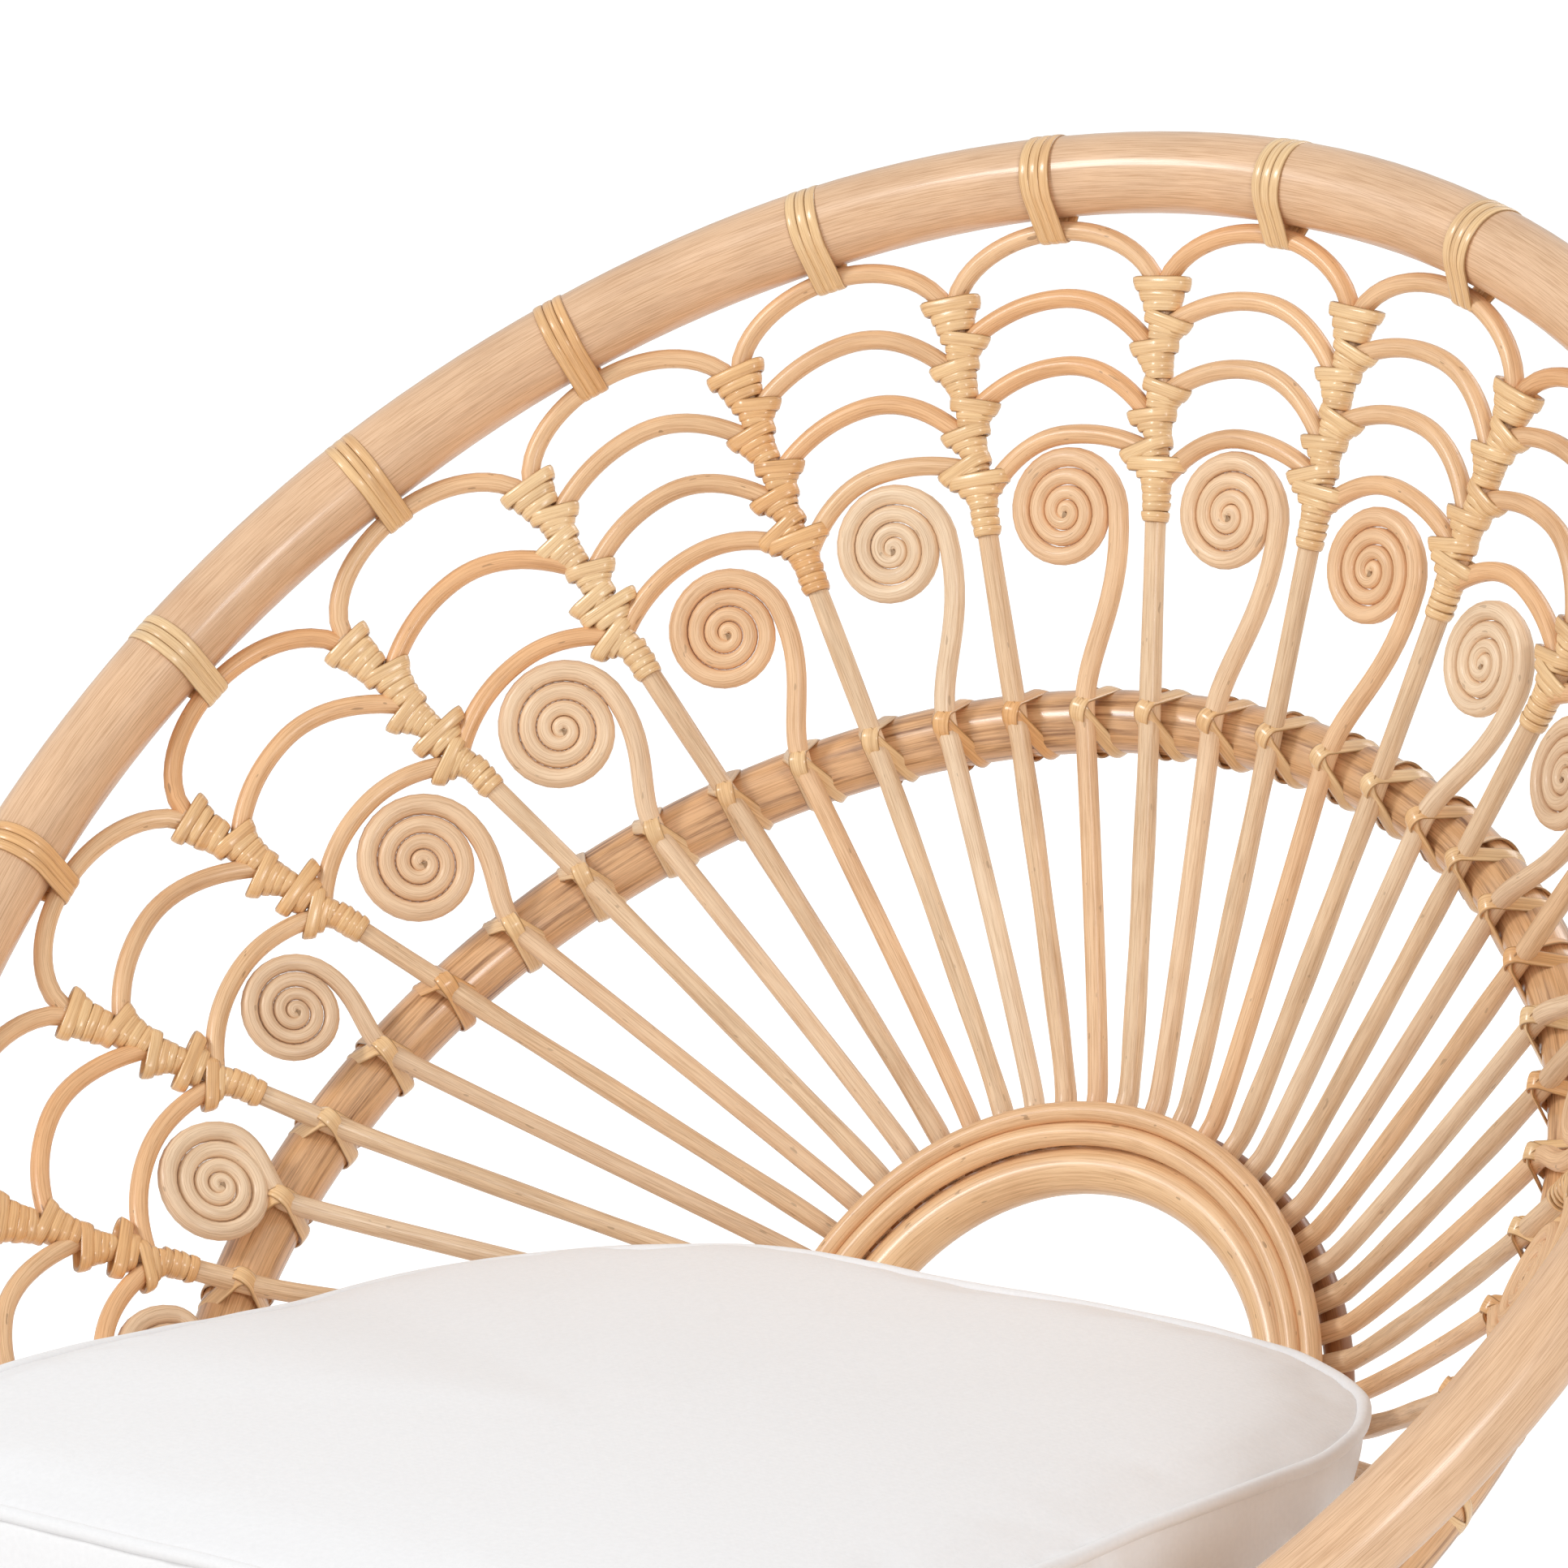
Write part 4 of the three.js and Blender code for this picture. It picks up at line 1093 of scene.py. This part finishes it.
class CHAIR_OT_cushion(bpy.types.Operator):
    """Sews and fills the loose seat cushion and pipes its edges"""

    bl_idname = "chair.cushion"
    bl_label = "Seat cushion"

    def execute(self, context):
        pad = self.cover(context)
        remesh = pad.modifiers.new("even faces", "REMESH")
        remesh.mode, remesh.voxel_size = "VOXEL", 5 * MM
        bpy.ops.object.modifier_apply(modifier=remesh.name)
        self.fill(context, pad)
        smooth = pad.modifiers.new("smooth", "SMOOTH")
        smooth.factor, smooth.iterations = 0.5, 3
        bpy.ops.object.modifier_apply(modifier=smooth.name)
        finer = pad.modifiers.new("finer", "SUBSURF")
        finer.levels = finer.render_levels = 1
        bpy.ops.object.modifier_apply(modifier=finer.name)
        self.pucker(pad)
        bpy.ops.object.shade_smooth()
        dress(pad, "cushion", "seat_cushion", body="cushion")
        self.pipe(context, pad)
        return {"FINISHED"}

    def cover(self, context):
        """Bridges outlines from the underside over the edge to the crown into one closed cover."""
        top, bottom = CUSHION["top"], CUSHION["bottom"]
        edge = cushion_outline()
        middle = sum(edge, Vector()) / len(edge)
        rings = []
        for level, inset in WALL_LEVELS:
            ring = []
            for place in edge:
                inward = (middle - place).normalized()
                back = max(0.0, (place.y - LEAN["from_y"]) / LEAN["length"])
                tuck = (1 - level) * LEAN["tuck"] * back * abs(place.x) / CUSHION["rear_left"]
                moved = place + inward * (inset + tuck) - Vector((0, (1 - level) * LEAN["shift"] * back, 0))
                moved.z = bottom + (top - bottom) * level + sag(place) * level
                ring.append(moved)
            rings.append(ring)
        for share, rise in CROWN_RISES:
            lifts = [Vector((0, 0, top + rise + sag(place) * share)) for place in edge]
            rings.append([middle.lerp(place, share) + lift for place, lift in zip(edge, lifts)])
        mesh = bpy.data.meshes.new("cushion_pad")
        count = len(edge)
        vertices = [(place + HUB_CENTRE) * MM for ring in rings for place in ring]
        faces = []
        for first in range(0, (len(rings) - 1) * count, count):
            for i in range(count):
                after = (i + 1) % count
                faces.append((first + i, first + after, first + count + after, first + count + i))
        faces.append(tuple(reversed(range(count))))
        faces.append(tuple(range((len(rings) - 1) * count, len(rings) * count)))
        mesh.from_pydata(vertices, [], faces)
        mesh.materials.append(material("fabric"))
        pad = bpy.data.objects.new("cushion_pad", mesh)
        context.scene.collection.objects.link(pad)
        bpy.ops.object.select_all(action="DESELECT")
        context.view_layer.objects.active = pad
        pad.select_set(True)
        return pad

    def fill(self, context, pad):
        """Blows the cover up a little, and holds each point near its place so the cushion keeps its room."""
        before = [v.co.copy() for v in pad.data.vertices]
        cloth = pad.modifiers.new("filling", "CLOTH")
        cloth.settings.use_pressure = True
        cloth.settings.uniform_pressure_force = 4
        cloth.settings.effector_weights.gravity = 0
        cloth.point_cache.frame_start, cloth.point_cache.frame_end = 1, FILL_FRAMES
        for number in range(1, FILL_FRAMES + 1):
            context.scene.frame_set(number)
        bpy.ops.object.modifier_apply(modifier=cloth.name)
        context.scene.frame_set(1)
        limit = FILL_LIMIT * MM
        for vertex, old in zip(pad.data.vertices, before):
            move = vertex.co - old
            if move.length > limit:
                vertex.co = old + move.normalized() * limit

    def pucker(self, pad):
        """Draws the side wall in along short folds that run down from the seam."""
        edge = cushion_outline()
        middle = sum(edge, Vector()) / len(edge)
        for vertex in pad.data.vertices:
            place = vertex.co / MM - HUB_CENTRE
            below = CUSHION["top"] - place.z
            if below < 2:
                continue
            turn = math.atan2(place.y - middle.y, place.x - middle.x)
            out = Vector((math.cos(turn), math.sin(turn), 0))
            wave = math.sin(turn * 46 + 2 * math.sin(turn * 7)) * (0.5 + 0.5 * math.sin(turn * 11 + 1))
            broad = math.sin(turn * 9 + 0.8)
            fade = math.exp(-((below - 12) / 16) ** 2)
            vertex.co += out * (1.1 * wave * fade + 1.5 * broad * math.exp(-((below - 45) / 30) ** 2)) * MM

    def pipe(self, context, pad):
        """Lays the covered cord of the piping where the top meets the side wall."""
        radius = context.scene.chair_sizes.piping / 2 / MM
        path = []
        for place in cushion_outline(1.0):
            start = place + Vector((0, 0, CUSHION["top"] + sag(place)))
            near, normal = pad.closest_point_on_mesh((start + HUB_CENTRE) * MM)[1:3]
            path.append(near / MM - HUB_CENTRE + normal * radius * 0.35)
        for _ in range(3):
            path = [(path[i - 1] + place * 2 + path[(i + 1) % len(path)]) / 4 for i, place in enumerate(path)]
        cord = lay_canes("cushion_piping", [even(path, radius)], "fabric", closed=True, rounding=4, seed=601)
        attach(cord, "cushion")


def aim(thing, target):
    thing.rotation_euler = (Vector(target) - thing.location).to_track_quat("-Z", "Y").to_euler()


# The camera that was fitted to the photograph: its turn and rise in degrees, its focal length in pixels and
# its distance in mm, and where the picture has its middle and the hub centre
CAMERA = dict(turn=37.6, rise=13.96, focal=14041.0, distance=4576.6)
PHOTO_WIDTH = 1932
PHOTO_MIDDLE = 966
HUB_PIXEL = (1271.88, 1749.88)
SENSOR = 36
# Lamps as place and width in metres, and power in watts
LAMPS = dict(
    key=((-1.7, -2.5, 2.7), 0.9, 48),
    fill=((2.8, -1.4, 1.7), 0.7, 20),
    back=((0.6, 2.6, 2.4), 1.4, 20),
)
FLOOR_GLOW = 0.5
# How bright the surround is as a light, and as the camera sees it
SKY_LEVELS = (0.62, 1.0)


class CHAIR_OT_stage(bpy.types.Operator):
    """Sets the floor, the soft lights and the camera"""

    bl_idname = "chair.stage"
    bl_label = "Stage"

    def execute(self, context):
        self.lay_floor()
        self.light_surround(context.scene)
        for name, (place, size, power) in LAMPS.items():
            self.hang_lamp(context.scene, name, place, size, power)
        self.place_camera(context.scene)
        context.scene.view_settings.view_transform = "Standard"
        return {"FINISHED"}

    def lay_floor(self):
        """A pale floor that takes shadows and fades to white before the camera."""
        bpy.ops.object.select_all(action="DESELECT")
        bpy.ops.mesh.primitive_plane_add(size=40, location=(0, 0, 0))
        floor = bpy.context.object
        floor.name = "floor"
        made = empty_material("pale studio floor")
        tree = made.node_tree
        seen = add_node(tree, "ShaderNodeLightPath").outputs["Is Camera Ray"]
        lit = add_node(tree, "ShaderNodeBsdfDiffuse", {"Color": colour("F4F2F0")}).outputs[0]
        white = {"Color": colour("FFFFFF"), "Strength": FLOOR_GLOW}
        glow = add_node(tree, "ShaderNodeEmission", white).outputs[0]
        both = add_node(tree, "ShaderNodeAddShader", {0: lit, 1: glow}).outputs[0]
        mix = add_node(tree, "ShaderNodeMixShader", {0: seen, 1: lit, 2: both})
        add_node(tree, "ShaderNodeOutputMaterial", {"Surface": mix.outputs[0]})
        floor.data.materials.append(made)

    def light_surround(self, scene):
        """White all round: dimmer as a light than the camera sees it, so that the canes keep their shade."""
        world = bpy.data.worlds.new("soft studio")
        scene.world = world
        world.use_nodes = True
        tree = world.node_tree
        tree.nodes.clear()
        seen = add_node(tree, "ShaderNodeLightPath").outputs["Is Camera Ray"]
        limits = {"Value": seen, "To Min": SKY_LEVELS[0], "To Max": SKY_LEVELS[1]}
        level = add_node(tree, "ShaderNodeMapRange", limits).outputs[0]
        sky = add_node(tree, "ShaderNodeBackground", {"Color": colour("FFFFFF"), "Strength": level})
        add_node(tree, "ShaderNodeOutputWorld", {"Surface": sky.outputs[0]})

    def hang_lamp(self, scene, name, place, size, power):
        lamp = bpy.data.lights.new(name, "AREA")
        lamp.shape, lamp.size, lamp.energy = "SQUARE", size, power
        hung = bpy.data.objects.new(name, lamp)
        scene.collection.objects.link(hung)
        hung.location = place
        aim(hung, (0, 0, 0.5))

    def place_camera(self, scene):
        turn, rise = math.radians(CAMERA["turn"]), math.radians(CAMERA["rise"])
        focal, distance = CAMERA["focal"], CAMERA["distance"]
        forward = Vector((-math.sin(turn) * math.cos(rise), math.cos(turn) * math.cos(rise), -math.sin(rise)))
        right = Vector((math.cos(turn), math.sin(turn), 0))
        up = right.cross(forward)
        place = HUB_CENTRE - (forward * distance + right * distance * (HUB_PIXEL[0] - PHOTO_MIDDLE) / focal
                              - up * distance * (HUB_PIXEL[1] - PHOTO_MIDDLE) / focal)
        camera = bpy.data.cameras.new("camera")
        camera.sensor_width = SENSOR
        camera.lens = focal / PHOTO_WIDTH * SENSOR
        camera.clip_end = 60
        viewer = bpy.data.objects.new("camera", camera)
        scene.collection.objects.link(viewer)
        turned = Matrix((right, up, -forward)).transposed().to_4x4()
        viewer.matrix_world = Matrix.Translation(place * MM) @ turned
        scene.camera = viewer


CLASSES = (
    CHAIR_OT_outer_rim, CHAIR_OT_inner_ring, CHAIR_OT_hub, CHAIR_OT_straight_spokes, CHAIR_OT_curl_spokes,
    CHAIR_OT_arches, CHAIR_OT_valley_bindings, CHAIR_OT_rim_wraps, CHAIR_OT_ring_lashings, CHAIR_OT_seat,
    CHAIR_OT_stand, CHAIR_OT_cushion, CHAIR_OT_stage,
)


class CHAIR_PT_panel(bpy.types.Panel):
    """Lists the makers of the chair's pieces"""

    bl_label = "Rattan Peacock Chair"
    bl_space_type = "VIEW_3D"
    bl_region_type = "UI"
    bl_category = "Chair"

    def draw(self, context):
        for maker in CLASSES:
            self.layout.operator(maker.bl_idname)
        for group in (context.scene.chair_sizes, context.scene.chair_colours):
            for key in group.__annotations__:
                self.layout.prop(group, key)


def register():
    bpy.utils.register_class(ChairSizes)
    bpy.utils.register_class(ChairColours)
    bpy.types.Scene.chair_sizes = bpy.props.PointerProperty(type=ChairSizes)
    bpy.types.Scene.chair_colours = bpy.props.PointerProperty(type=ChairColours)
    for maker in CLASSES:
        bpy.utils.register_class(maker)
    bpy.utils.register_class(CHAIR_PT_panel)


def unregister():
    bpy.utils.unregister_class(CHAIR_PT_panel)
    for maker in reversed(CLASSES):
        bpy.utils.unregister_class(maker)
    del bpy.types.Scene.chair_colours
    del bpy.types.Scene.chair_sizes
    bpy.utils.unregister_class(ChairColours)
    bpy.utils.unregister_class(ChairSizes)


def main():
    register()
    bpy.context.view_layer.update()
    for maker in CLASSES:
        group, name = maker.bl_idname.split(".")
        getattr(getattr(bpy.ops, group), name)()


if __name__ == "__main__":
    main()
